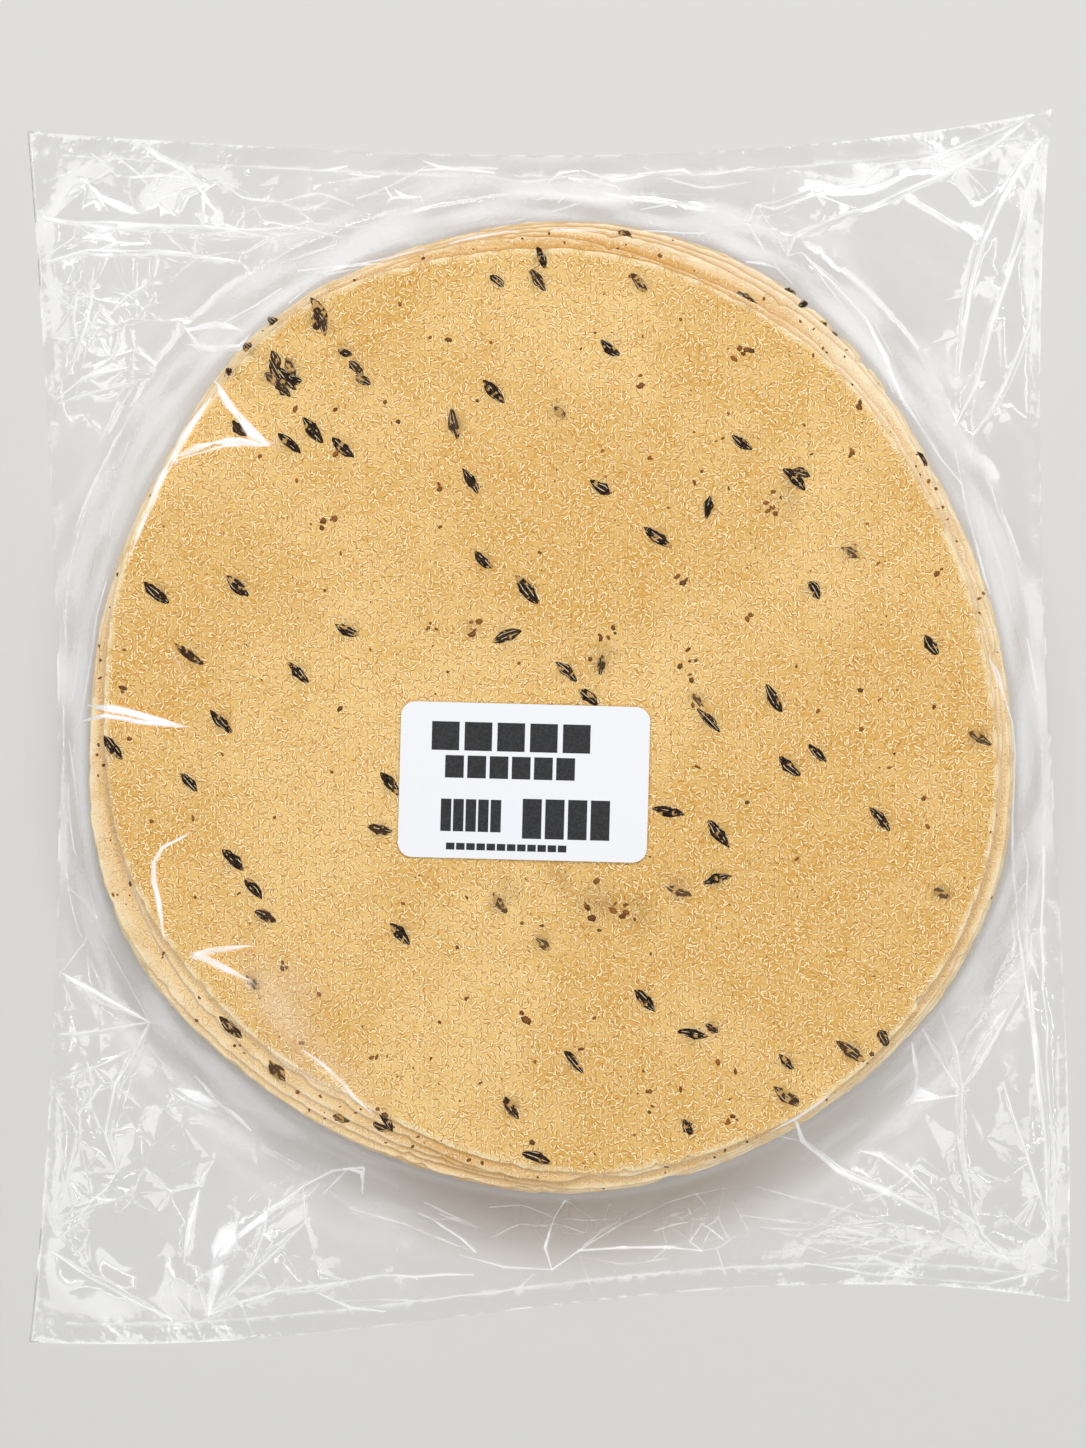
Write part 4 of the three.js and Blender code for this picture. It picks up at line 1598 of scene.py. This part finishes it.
# %% Where the seeds lie
SEEDS = [
    (541, 258, 70, 3.6, 1.0), (497, 281, 40, 2.6, 1.0), (538, 280, 55, 4.2, 0.9), (640, 283, 50, 4.2, 0.8),
    (319, 312, 60, 4.8, 0.9), (322, 325, 75, 3.8, 0.8), (345, 352, 20, 2.2, 1.0), (356, 368, 45, 3.0, 0.9),
    (363, 380, 30, 2.6, 1.0), (277, 372, 60, 4.6, 0.9), (286, 378, 50, 4.8, 1.0), (291, 368, 70, 4.0, 0.8),
    (271, 379, 40, 3.2, 0.7), (289, 443, 42, 4.6, 1.0), (313, 430, 52, 5.0, 1.0), (343, 447, 42, 4.6, 1.0),
    (240, 428, 45, 3.4, 0.9), (455, 424, 78, 5.2, 0.8), (494, 392, 48, 5.0, 1.0), (559, 413, 50, 2.6, 0.6),
    (611, 348, 38, 3.8, 1.0), (742, 442, 36, 3.8, 1.0), (471, 482, 58, 4.6, 1.0), (602, 487, 30, 4.0, 1.0),
    (709, 507, 100, 3.6, 1.0), (793, 479, 44, 4.8, 1.0), (800, 474, 15, 3.2, 0.9), (658, 537, 36, 5.2, 1.0),
    (850, 553, 30, 4.0, 0.6), (814, 590, 60, 3.0, 1.0), (484, 560, 44, 3.8, 1.0), (527, 590, 52, 5.6, 1.0),
    (157, 593, 40, 5.0, 1.0), (238, 586, 44, 4.6, 1.0), (348, 630, 24, 4.2, 1.0), (507, 637, -22, 5.0, 0.9),
    (932, 645, 55, 3.6, 1.0), (190, 655, 36, 5.8, 0.9), (299, 673, 46, 4.4, 1.0), (601, 665, 95, 3.4, 0.8),
    (566, 672, 44, 4.4, 1.0), (588, 697, 40, 3.8, 1.0), (697, 700, 50, 3.2, 0.6), (708, 720, 46, 5.0, 1.0),
    (774, 698, 60, 5.0, 1.0), (980, 738, 30, 4.8, 0.7), (222, 722, 46, 4.8, 1.0), (114, 748, 52, 4.6, 1.0),
    (189, 783, 48, 3.8, 1.0), (790, 766, 42, 4.4, 1.0), (818, 753, 44, 3.8, 1.0), (390, 784, 50, 4.6, 1.0),
    (380, 829, 12, 4.0, 0.9), (880, 820, 50, 4.8, 1.0), (668, 812, 10, 5.0, 1.0), (718, 833, 52, 5.4, 1.0),
    (717, 880, -16, 4.6, 1.0), (233, 860, 44, 4.6, 1.0), (253, 889, 50, 4.2, 1.0), (265, 917, 30, 3.8, 0.9),
    (400, 934, 48, 4.4, 1.0), (500, 903, 60, 4.4, 0.6), (543, 944, 40, 3.0, 0.6), (678, 890, 20, 5.0, 0.6),
    (942, 893, 30, 3.0, 0.5), (644, 1000, 46, 4.6, 1.0), (692, 1034, 10, 4.8, 1.0), (712, 1028, 35, 2.2, 0.9),
    (573, 1061, 50, 4.6, 1.0), (787, 1062, 45, 3.4, 1.0), (852, 1052, 36, 5.8, 0.8),
    (788, 1098, 38, 5.4, 0.8), (688, 1127, 60, 2.6, 1.0), (511, 1107, 58, 4.2, 0.9),
    (536, 1158, 20, 4.8, 1.0), (385, 1118, 62, 4.4, 1.0),
    (382, 1126, 20, 3.0, 0.9), (253, 982, 50, 3.4, 0.6), (231, 1028, 44, 5.0, 0.9), (278, 1070, 50, 4.4, 0.7),
    (275, 360, 68, 3.2, 0.9), (283, 389, 42, 3.4, 0.9), (294, 380, 10, 2.4, 1.0), (316, 322, 80, 2.6, 0.9),
    (921, 458, 50, 2.8, 0.9), (748, 299, 36, 4.0, 0.9), (790, 293, 40, 2.2, 0.8), (625, 235, 20, 2.4, 0.7),
    (249, 350, 50, 2.6, 0.9), (274, 323, 40, 2.4, 0.9), (341, 1118, 20, 3.0, 0.6), (883, 1038, 62, 2.6, 0.9),
    (230, 372, 45, 1.5, 0.9), (803, 305, -20, 1.5, 1.0), (823, 324, 30, 1.4, 0.6), (834, 335, 80, 1.2, 0.6),
]
SEED_WIDTH = 1.95
SEED_LONGER = 1.16
SEED_ROUGH = 0.45
SEED_HALF_HEIGHT = 0.17
SEED_MERIDIANS = 16
SEED_PARALLELS = 9
print(len(SEEDS), "seeds")

# %% [markdown]
# Each seed starts as a ball with sixteen meridians. Every second one is a raised rib, the ball
# is drawn out to a slightly bent spindle, and the lower half sinks into the dough.


# %% Seed shapes
def add_seed(mesh, layers, draw_seed, across, down, lean, length, clear):
    """One ridged spindle, pressed into the papad that shows at its place."""
    height = STACK_TOP
    for _ in range(2):
        x, y = from_photo(across, down, height)
        height, index = surface_under(x, y)
    if index == PAPAD_COUNT:
        print("no papad under the seed at", across, down)
        return x, y
    rib, fade = layers
    made = bmesh.ops.create_uvsphere(
        mesh, u_segments=SEED_MERIDIANS, v_segments=SEED_PARALLELS, radius=1.0
    )["verts"]
    width = SEED_WIDTH * draw_seed.uniform(0.85, 1.12) * min(1.0, 0.55 + length / 10, 0.2 + length / 4)
    curve = draw_seed.uniform(-0.14, 0.14)
    roll = draw_seed.uniform(0, 2 * math.pi)
    sink = 0.10 * (1 - clear) + 0.03
    turn = Matrix.Rotation(-math.radians(lean), 4, "Z")
    for vert in made:
        along = vert.co.z
        around = math.atan2(vert.co.y, vert.co.x)
        step = round(around / (2 * math.pi) * SEED_MERIDIANS)
        on_rib = step % 2 == 0
        body = (1 - abs(along) ** (1.7 if length > 3.0 else 2.8)) ** 0.85
        rough = noise.noise(Vector((along * 3.0, math.cos(around) * 1.5 + x, math.sin(around) * 1.5 + y)))
        girth = body * (1.0 if on_rib else 0.86) * (1 + SEED_ROUGH * rough)
        side = math.cos(around + roll) * girth * width / 2
        up = math.sin(around + roll) * girth * SEED_HALF_HEIGHT
        vert[rib] = 1.0 if on_rib else 0.0
        vert[fade] = 1 - clear
        ahead = along * length * SEED_LONGER / 2
        place = Vector((ahead, side + curve * (1 - along * along) * width, up - sink))
        vert.co = turn @ place + Vector((x, y, height))
    return x, y


def seeds_mesh():
    """All the seeds as one mesh, and the place of each."""
    draw_seed = random.Random(SEED + 2)
    mesh = bmesh.new()
    layers = new_layers(mesh, "rib", "fade")
    places = [add_seed(mesh, layers, draw_seed, *row) for row in SEEDS]
    bmesh.ops.recalc_face_normals(mesh, faces=mesh.faces)
    return mesh, places


seeds_bmesh, seed_places = seeds_mesh()
print("seeds have", len(seeds_bmesh.faces), "faces")

# %% [markdown]
# The flecks are bits of husk and broken spice, red-brown and no larger than a millimetre or
# so. Some form clusters next to seeds, and the rest are spread over the top papad by a rule.

# %% Where the flecks lie
FLECK_CLUSTERS = [
    (776, 500, 2.6, 7), (605, 628, 2.0, 5), (475, 629, 1.3, 4), (712, 1028, 0.9, 3), (690, 672, 2.2, 5),
    (735, 353, 1.4, 4), (750, 352, 0.7, 2), (862, 405, 0.7, 2), (440, 484, 1.0, 3), (428, 628, 1.4, 4),
    (325, 522, 1.6, 4), (680, 580, 1.2, 3), (752, 618, 0.9, 3), (640, 384, 0.6, 2), (940, 575, 1.0, 2),
    (467, 1002, 0.7, 2), (374, 1056, 0.7, 2), (526, 1018, 0.6, 2), (602, 905, 4.2, 8), (620, 910, 3.0, 6),
    (734, 1125, 1.5, 4), (652, 1110, 0.8, 2), (283, 966, 0.8, 3), (850, 452, 0.7, 2), (120, 690, 1.0, 3),
]
LOOSE_FLECKS = 260
LOOSE_REACH = 76.0
RIM_FLECKS = 110
FLECK_THICK = 0.16


def add_fleck(mesh, tint, draw_fleck, x, y, size):
    """One crumb: a coarse ball, squashed and pulled out of shape."""
    height, index = surface_under(x, y)
    if index == PAPAD_COUNT:
        return
    made = bmesh.ops.create_icosphere(mesh, subdivisions=1, radius=0.5)["verts"]
    stretch = Vector((size * draw_fleck.uniform(0.7, 1.3), size * draw_fleck.uniform(0.5, 0.9), FLECK_THICK))
    turn = Matrix.Rotation(draw_fleck.uniform(0, math.pi), 4, "Z")
    shade = draw_fleck.random()
    for vert in made:
        pull = draw_fleck.uniform(0.7, 1.15)
        vert[tint] = shade
        vert.co = turn @ Vector([a * b * pull for a, b in zip(vert.co, stretch)])
        vert.co += Vector((x, y, height - 0.01))


def flecks_mesh():
    """All the flecks as one mesh: the clusters, the loose ones and those on the rims."""
    draw_fleck = random.Random(SEED + 3)
    mesh = bmesh.new()
    [tint] = new_layers(mesh, "tint")
    for across, down, reach, count in FLECK_CLUSTERS:
        x, y = from_photo(across, down, STACK_TOP)
        for _ in range(count):
            far = reach * math.sqrt(draw_fleck.random())
            turn = draw_fleck.uniform(0, 2 * math.pi)
            size = draw_fleck.uniform(0.6, 1.7)
            add_fleck(mesh, tint, draw_fleck, x + far * math.cos(turn), y + far * math.sin(turn), size)
    for _ in range(LOOSE_FLECKS):
        far = LOOSE_REACH * math.sqrt(draw_fleck.random())
        turn = draw_fleck.uniform(0, 2 * math.pi)
        size = 0.35 + 0.9 * draw_fleck.random() ** 2
        add_fleck(mesh, tint, draw_fleck, *place_at(turn, far), size)
    for _ in range(RIM_FLECKS):
        turn = draw_fleck.uniform(-math.pi, math.pi)
        top = papad_rim(0, turn)
        far = top + (measured_rim(OUTER_REACHES, turn) - top) * draw_fleck.uniform(0.1, 0.9)
        add_fleck(mesh, tint, draw_fleck, *place_at(turn, far), draw_fleck.uniform(0.4, 0.9))
    return mesh


flecks_bmesh = flecks_mesh()
print("flecks have", len(flecks_bmesh.faces), "faces")

# %% [markdown]
# Papad dough is gold and dry, with a grain like fine worms: short, slightly curved pale
# strokes that lie in all directions, and darker ones between them. A Voronoi texture cuts the
# surface into cells, and each cell draws one stroke through its middle, turned and bent by
# the cell's own random colour. Each pale stroke has a painted shade outline, darker on one
# side, as if the stroke stood in relief. Dark stains spread round the seeds. Rims are paler,
# partly as painted highlight, and ledges carry painted shade and painted light under the rim above.


# %% Papad materials
def strokes(finish, place, cell, half_length, half_width, salt):
    """One curved stroke in each cell, sizes in mm: how much of a stroke and of its painted shade outline,
    darker on one side.
    """
    moved = finish.add("VectorMath", {"operation": "ADD"}, {0: place, 1: (salt, salt * 1.7, 0.0)})
    scaled = finish.add("VectorMath", {"operation": "SCALE"}, {0: moved, "Scale": 1 / cell})
    settings = {"voronoi_dimensions": "2D", "feature": "F1"}
    sockets = {"Vector": scaled, "Scale": 1.0}
    middle = finish.add("TexVoronoi", settings, sockets, output="Position")
    chance = Wire(finish, middle.socket.node.outputs["Color"])
    from_middle = finish.add("VectorMath", {"operation": "SUBTRACT"}, {0: scaled, 1: middle})
    x = finish.part(from_middle, 0)
    y = finish.part(from_middle, 1)
    turn = finish.part(chance, 0) * (2 * math.pi)
    cosine = turn.math("COSINE")
    sine = turn.math("SINE")
    along = x * cosine + y * sine
    bend = (finish.part(chance, 1) - 0.5) * 2.6
    beside = y * cosine - x * sine + bend * along * along
    shaded_side = 0.15 + 0.85 * beside.between(-half_width / cell, half_width / cell)
    across = abs(beside)
    along = abs(along)
    clear = 0.15 + 0.95 * finish.part(chance, 2)
    ends = 1 - along.between(half_length * 0.8 / cell, half_length / cell)
    sides = 1 - across.between(half_width * 0.6 / cell, half_width * 1.2 / cell)
    far_ends = 1 - along.between(half_length / cell, (half_length + half_width) / cell)
    far_sides = 1 - across.between(half_width * 1.5 / cell, half_width * 2.6 / cell)
    inside = ends * sides
    return inside * clear, (far_ends * far_sides - inside) * clear * shaded_side


def papad_material(name, body, dark, pale, rim_edge_and_highlight_colour, grain):
    finish = Finish(name)
    place = finish.place()
    broad = finish.noise(place, 30.0, detail=2.0).between(0.36, 0.64)
    patch = finish.noise(place, 4.2, detail=3.0).between(0.34, 0.66)
    light, light_shade_outline = strokes(finish, place, 0.92, 0.46, 0.118, 7.0)
    light_too, shade_outline_too = strokes(finish, place, 0.76, 0.34, 0.105, 23.0)
    dark_line, _ = strokes(finish, place, 1.15, 0.50, 0.105, 41.0)
    rim = finish.attribute("rim")
    stain = finish.attribute("stain")
    tuck_shade = finish.attribute("tuck_shade")
    outer = finish.attribute("pale")
    gold = finish.attribute("gold")
    many = 0.7 + 0.3 * patch
    base = finish.blend(broad * 0.55 + patch * 0.45, body, dark)
    based = finish.blend(gold * 0.85, base, colour(214, 162, 78))
    # Painted shade: dark outlines round the pale strokes.
    grained = finish.blend((light_shade_outline + shade_outline_too) * grain, based, colour(180, 112, 24))
    grained = finish.blend(dark_line * (0.70 * grain), grained, colour(164, 98, 20))
    grained = finish.blend(light_too * many * (0.90 * grain), grained, pale)
    grained = finish.blend(light * many * grain, grained, pale)
    # Paler outer ledges, and painted light close under the rim above.
    faded = finish.blend(outer * 0.7, grained, colour(238, 224, 198))
    broken = 0.25 + 0.65 * finish.noise(place, 3.4, detail=2.0).between(0.40, 0.58)
    # The rim's pale band: partly paler dough, partly painted highlight.
    rim_edged_and_lit = finish.blend(rim * broken * (1 - 0.5 * gold), faded, rim_edge_and_highlight_colour)
    # Painted shade close under the rim above.
    tuck_shaded = finish.blend(tuck_shade * 0.75, rim_edged_and_lit, colour(208, 154, 74))
    stained = finish.blend(stain * (0.35 + 0.65 * patch), tuck_shaded, colour(88, 62, 40))
    sockets = {
        "Base Color": stained,
        "Roughness": 0.7,
        "Specular IOR Level": 0.3,
        "Normal": finish.bump(patch, 0.00008, 0.5),
    }
    return finish.done(sockets)


papad_finish = papad_material(
    "papad dough",
    body=colour(240, 204, 134),
    dark=colour(217, 168, 84),
    pale=colour(252, 237, 186),
    rim_edge_and_highlight_colour=colour(255, 242, 204),
    grain=1.0,
)
rim_finish = papad_material(
    "papad rim",
    body=colour(243, 213, 156),
    dark=colour(230, 190, 124),
    pale=colour(255, 240, 204),
    rim_edge_and_highlight_colour=colour(255, 242, 208),
    grain=0.6,
)
print("papad materials are ready")

# %% [markdown]
# The top papad is stained round its seeds, and smudges show where a seed lies deeper. Then all
# papads are made, from the top down.

# %% The stack of papads
STAIN_REACH = 1.9
# Smudges without a seed: middle pixel, reach in mm and strength.
SMUDGES = [
    (558, 880, 4.0, 0.20), (598, 904, 6.0, 0.34), (636, 912, 5.0, 0.24), (782, 502, 4.5, 0.30),
    (605, 652, 3.6, 0.26), (506, 890, 4.0, 0.20), (675, 884, 4.0, 0.24), (472, 628, 3.0, 0.20),
]


def stain_near_seeds(mesh):
    """Darken the top papad round each seed, most where a seed lies under the dough."""
    [stain] = new_layers(mesh, "stain")
    smudged = [from_photo(across, down, STACK_TOP) for across, down, _, _ in SMUDGES]
    places = np.array(seed_places + smudged)
    strength = np.array([0.42 + 0.5 * (1 - row[4]) for row in SEEDS] + [row[3] for row in SMUDGES])
    reach = np.array([STAIN_REACH + row[3] * 0.18 for row in SEEDS] + [row[2] for row in SMUDGES])
    for vert in mesh.verts:
        away = np.hypot(places[:, 0] - vert.co.x, places[:, 1] - vert.co.y)
        vert[stain] = float(np.max(strength * (1 - smooth(away / reach))))


triangle_total = 0
for index in range(PAPAD_COUNT):
    mesh = papad_mesh(index)
    if index == 0:
        stain_near_seeds(mesh)
    triangle_total += sum(len(face.verts) - 2 for face in mesh.faces)
    name = f"papad_{index + 1:02d}"
    finish = rim_finish if index else papad_finish
    make_piece(name, mesh, finish, "bag")
print(PAPAD_COUNT, "papads with", triangle_total, "triangles")

# %% [markdown]
# A cumin seed is dark with thin pale ribs from tip to tip. The seed mesh marks its ribs with
# an attribute, so the pale lines follow each seed. The flecks only need red-browns of
# different depth.


# %% Seed and fleck materials
def seed_material():
    finish = Finish("cumin seed")
    place = finish.place()
    rib = finish.attribute("rib")
    fade = finish.attribute("fade")
    rough = finish.noise(place, 0.5, detail=3.0)
    covered = finish.noise(place, 1.1, detail=3.0)
    dark = finish.blend(rough.between(0.35, 0.7), colour(22, 15, 10), colour(62, 42, 26))
    line = rib.between(0.7, 0.95) * finish.noise(place, 0.9, detail=2.0).between(0.44, 0.56)
    ribbed = finish.blend(line, dark, colour(236, 216, 178))
    faded = finish.blend(fade * 0.8, ribbed, colour(150, 112, 70))
    smeared = finish.blend((covered + fade * 0.2).between(0.58, 0.66) * 0.85, faded, colour(206, 162, 98))
    sockets = {
        "Base Color": smeared,
        "Roughness": 0.7,
        "Specular IOR Level": 0.08,
        "Normal": finish.bump(rough, 0.00006, 0.5),
    }
    return finish.done(sockets)


def fleck_material():
    finish = Finish("husk fleck")
    tint = finish.attribute("tint")
    rough = finish.noise(finish.place(), 0.4, detail=2.0)
    brown = finish.blend(tint, colour(150, 88, 34), colour(66, 38, 20))
    mottled = finish.blend(rough * 0.4, brown, colour(180, 122, 58))
    sockets = {"Base Color": mottled, "Roughness": 0.6, "Specular IOR Level": 0.25}
    return finish.done(sockets)


make_piece("seeds", seeds_bmesh, seed_material(), "bag")
make_piece("flecks", flecks_bmesh, fleck_material(), "bag")
print("seeds and flecks are in place")

# %% [markdown]
# The label is a small rectangle of white paper with round corners, stuck on the film. Its
# print isn't copied: plain bars and blocks of the same weight stand in the same rows.

# %% Label shape
LABEL_SIZE = (40.0, 25.0)
LABEL_CORNER = 2.3
LABEL_TURN = math.radians(-1.5)
LABEL_BOTTOM = label_box[0][2]
LABEL_TOP = label_box[1][2]
LABEL_SAG = 0.10
CUT_EVERY = 1.6


def label_sag(x, y):
    """How far the label's paper bends, at a place measured from its middle."""
    wave = math.sin(x * 0.16 + 0.6) + math.cos(y * 0.21 + x * 0.05)
    return LABEL_SAG * (0.5 * wave - 0.4)


def rounded_plate(middle, size, corner, low, high):
    """A flat plate with round corners, cut into strips so that it can bend."""
    mesh = bmesh.new()
    bmesh.ops.create_grid(mesh, x_segments=1, y_segments=1, size=0.5)
    bmesh.ops.scale(mesh, vec=(size[0], size[1], 1), verts=mesh.verts)
    if corner > 0:
        bmesh.ops.bevel(
            mesh, geom=list(mesh.verts), offset=corner, offset_type="OFFSET", affect="VERTICES",
            segments=6, profile=0.5, material=-1, clamp_overlap=False,
        )
    for axis, half in enumerate((size[0] / 2, size[1] / 2)):
        count = int(2 * half / CUT_EVERY)
        for number in range(1, count):
            cut = [0.0, 0.0, 0.0]
            cut[axis] = -half + 2 * half * number / count
            normal = [0.0, 0.0, 0.0]
            normal[axis] = 1.0
            geometry = list(mesh.verts) + list(mesh.edges) + list(mesh.faces)
            bmesh.ops.bisect_plane(mesh, geom=geometry, plane_co=cut, plane_no=normal, dist=1e-4)
    lifted = bmesh.ops.extrude_face_region(mesh, geom=list(mesh.faces))["geom"]
    top = [part for part in lifted if isinstance(part, bmesh.types.BMVert)]
    bmesh.ops.translate(mesh, vec=(0, 0, high - low), verts=top)
    bmesh.ops.recalc_face_normals(mesh, faces=mesh.faces)
    bmesh.ops.translate(mesh, vec=(middle[0], middle[1], low), verts=mesh.verts)
    return mesh


def settle_on_label(mesh):
    """Bend a plate with the label's paper and put it in the label's place."""
    for vert in mesh.verts:
        vert.co.z += label_sag(vert.co.x, vert.co.y)
    bmesh.ops.rotate(mesh, cent=(0, 0, 0), matrix=Matrix.Rotation(LABEL_TURN, 3, "Z"), verts=mesh.verts)
    bmesh.ops.translate(mesh, vec=(label_middle[0], label_middle[1], 0), verts=mesh.verts)


def paper_material(name, shade, roughness):
    finish = Finish(name)
    fibre = finish.noise(finish.place(), 0.35, detail=3.0)
    speckled = finish.blend((fibre - 0.4) * 0.12, shade, colour(206, 208, 214))
    sockets = {
        "Base Color": speckled,
        "Roughness": roughness,
        "Normal": finish.bump(fibre, 0.00002, 0.4),
    }
    return finish.done(sockets)


label_mesh = rounded_plate((0, 0), LABEL_SIZE, LABEL_CORNER, LABEL_BOTTOM, LABEL_TOP)
settle_on_label(label_mesh)
label_finish = paper_material("label paper", colour(239, 241, 245), 0.5)
make_piece("label_paper", label_mesh, label_finish, "label", rounded=False)
print("label is", LABEL_SIZE, "mm")

# %% [markdown]
# The print is a row of plain blocks for each row of the real one, a hair above the paper.

# %% The plain print
PRINT_LIFT = 0.02
INK_THICKNESS = 0.015
# Each row: left and right end and height of its middle in mm from the label's middle, the
# bar's height, and how many blocks it is cut into.
PRINT_ROWS = [
    (-15.4, 10.9, 7.1, 4.6, 5),
    (-13.0, 8.4, 2.2, 3.6, 6),
    (-13.4, -3.4, -5.6, 5.2, 5),
    (-0.4, 14.2, -5.9, 6.4, 4),
    (-12.4, 7.2, -10.6, 1.1, 12),
]
BLOCK_GAP = 0.16


def print_mesh():
    """All the plain blocks as one mesh."""
    whole = bmesh.new()
    top = LABEL_TOP + PRINT_LIFT
    for left, right, middle, tall, count in PRINT_ROWS:
        pitch = (right - left) / count
        for number in range(count):
            place = (left + pitch * (number + 0.5), middle)
            size = (pitch * (1 - BLOCK_GAP), tall)
            block = rounded_plate(place, size, 0.0, top - INK_THICKNESS, top)
            settle_on_label(block)
            part = mesh_data("block", block)
            whole.from_mesh(part)
            bpy.data.meshes.remove(part)
    return whole


ink_finish = paper_material("black ink", colour(22, 22, 24), 0.45)
make_piece("label_print", print_mesh(), ink_finish, "label", rounded=False)
print(sum(row[4] for row in PRINT_ROWS), "printed blocks")

# %% [markdown]
# The studio: a plain pale floor, a dim even sky, and a ring of soft lamps. Lamps round the
# bag let folds of every direction catch one, and none stands where calm film would mirror it
# to the camera.

# %% Floor, lights and camera
FLOOR_SIZE = 3.0
FLOOR_COLOUR = colour(213, 212, 211)
SKY_STRENGTH = 0.44
SKY_COLOUR = (0.98, 0.985, 0.985, 1.0)
LAMP_DISTANCE = 0.95
SENSOR_WIDTH = 36.0
# Each lamp: turn from +X in degrees, angle from straight up, width round the ring, height
# across it, and brightness.
LAMPS = [
    (84, 46, 0.52, 0.20, 7.0),
    (45, 32, 0.40, 0.28, 2.2),
    (135, 32, 0.40, 0.28, 1.9),
    (225, 32, 0.40, 0.28, 1.8),
    (315, 32, 0.40, 0.28, 1.9),
    (0, 44, 0.68, 0.024, 9.0),
    (60, 42, 0.68, 0.024, 9.0),
    (120, 44, 0.68, 0.024, 9.0),
    (180, 44, 0.68, 0.024, 8.0),
    (240, 44, 0.68, 0.024, 8.0),
    (300, 44, 0.68, 0.024, 8.0),
]


def make_floor():
    mesh = bmesh.new()
    bmesh.ops.create_grid(mesh, x_segments=1, y_segments=1, size=FLOOR_SIZE / 2)
    data = mesh_data("floor", mesh)
    data.materials.append(Finish("floor").done({"Base Color": FLOOR_COLOUR, "Roughness": 0.6}))
    new_object("floor", data)


def make_lamp(number, turn, from_up, width, height, brightness):
    lamp = bpy.data.lights.new(f"lamp_{number}", "AREA")
    lamp.shape = "RECTANGLE"
    lamp.size = width
    lamp.size_y = height
    lamp.energy = brightness * math.pi * width * height
    holder = new_object(lamp.name, lamp)
    up = math.radians(from_up)
    around = math.radians(turn)
    direction = Vector((math.sin(up) * math.cos(around), math.sin(up) * math.sin(around), math.cos(up)))
    holder.location = direction * LAMP_DISTANCE
    holder.rotation_euler = direction.to_track_quat("Z", "Y").to_euler()


def make_camera():
    data = bpy.data.cameras.new("camera")
    data.sensor_width = SENSOR_WIDTH
    view_height = PHOTO_LONG_SIDE / PIXELS_PER_MM_ON_TABLE
    data.lens = SENSOR_WIDTH * CAMERA_HEIGHT / view_height
    camera = new_object("camera", data)
    camera.location = (CAMERA_PLACE[0] * MM, CAMERA_PLACE[1] * MM, CAMERA_HEIGHT * MM)
    bpy.context.scene.camera = camera
    return data.lens


make_floor()
for number, lamp in enumerate(LAMPS, 1):
    make_lamp(number, *lamp)
world = bpy.data.worlds.new("sky")
world.use_nodes = True
sky = world.node_tree.nodes["Background"]
sky.inputs["Color"].default_value = SKY_COLOUR
sky.inputs["Strength"].default_value = SKY_STRENGTH
bpy.context.scene.world = world
bpy.context.scene.view_settings.view_transform = "Standard"
print("camera lens", round(make_camera(), 1), "mm")
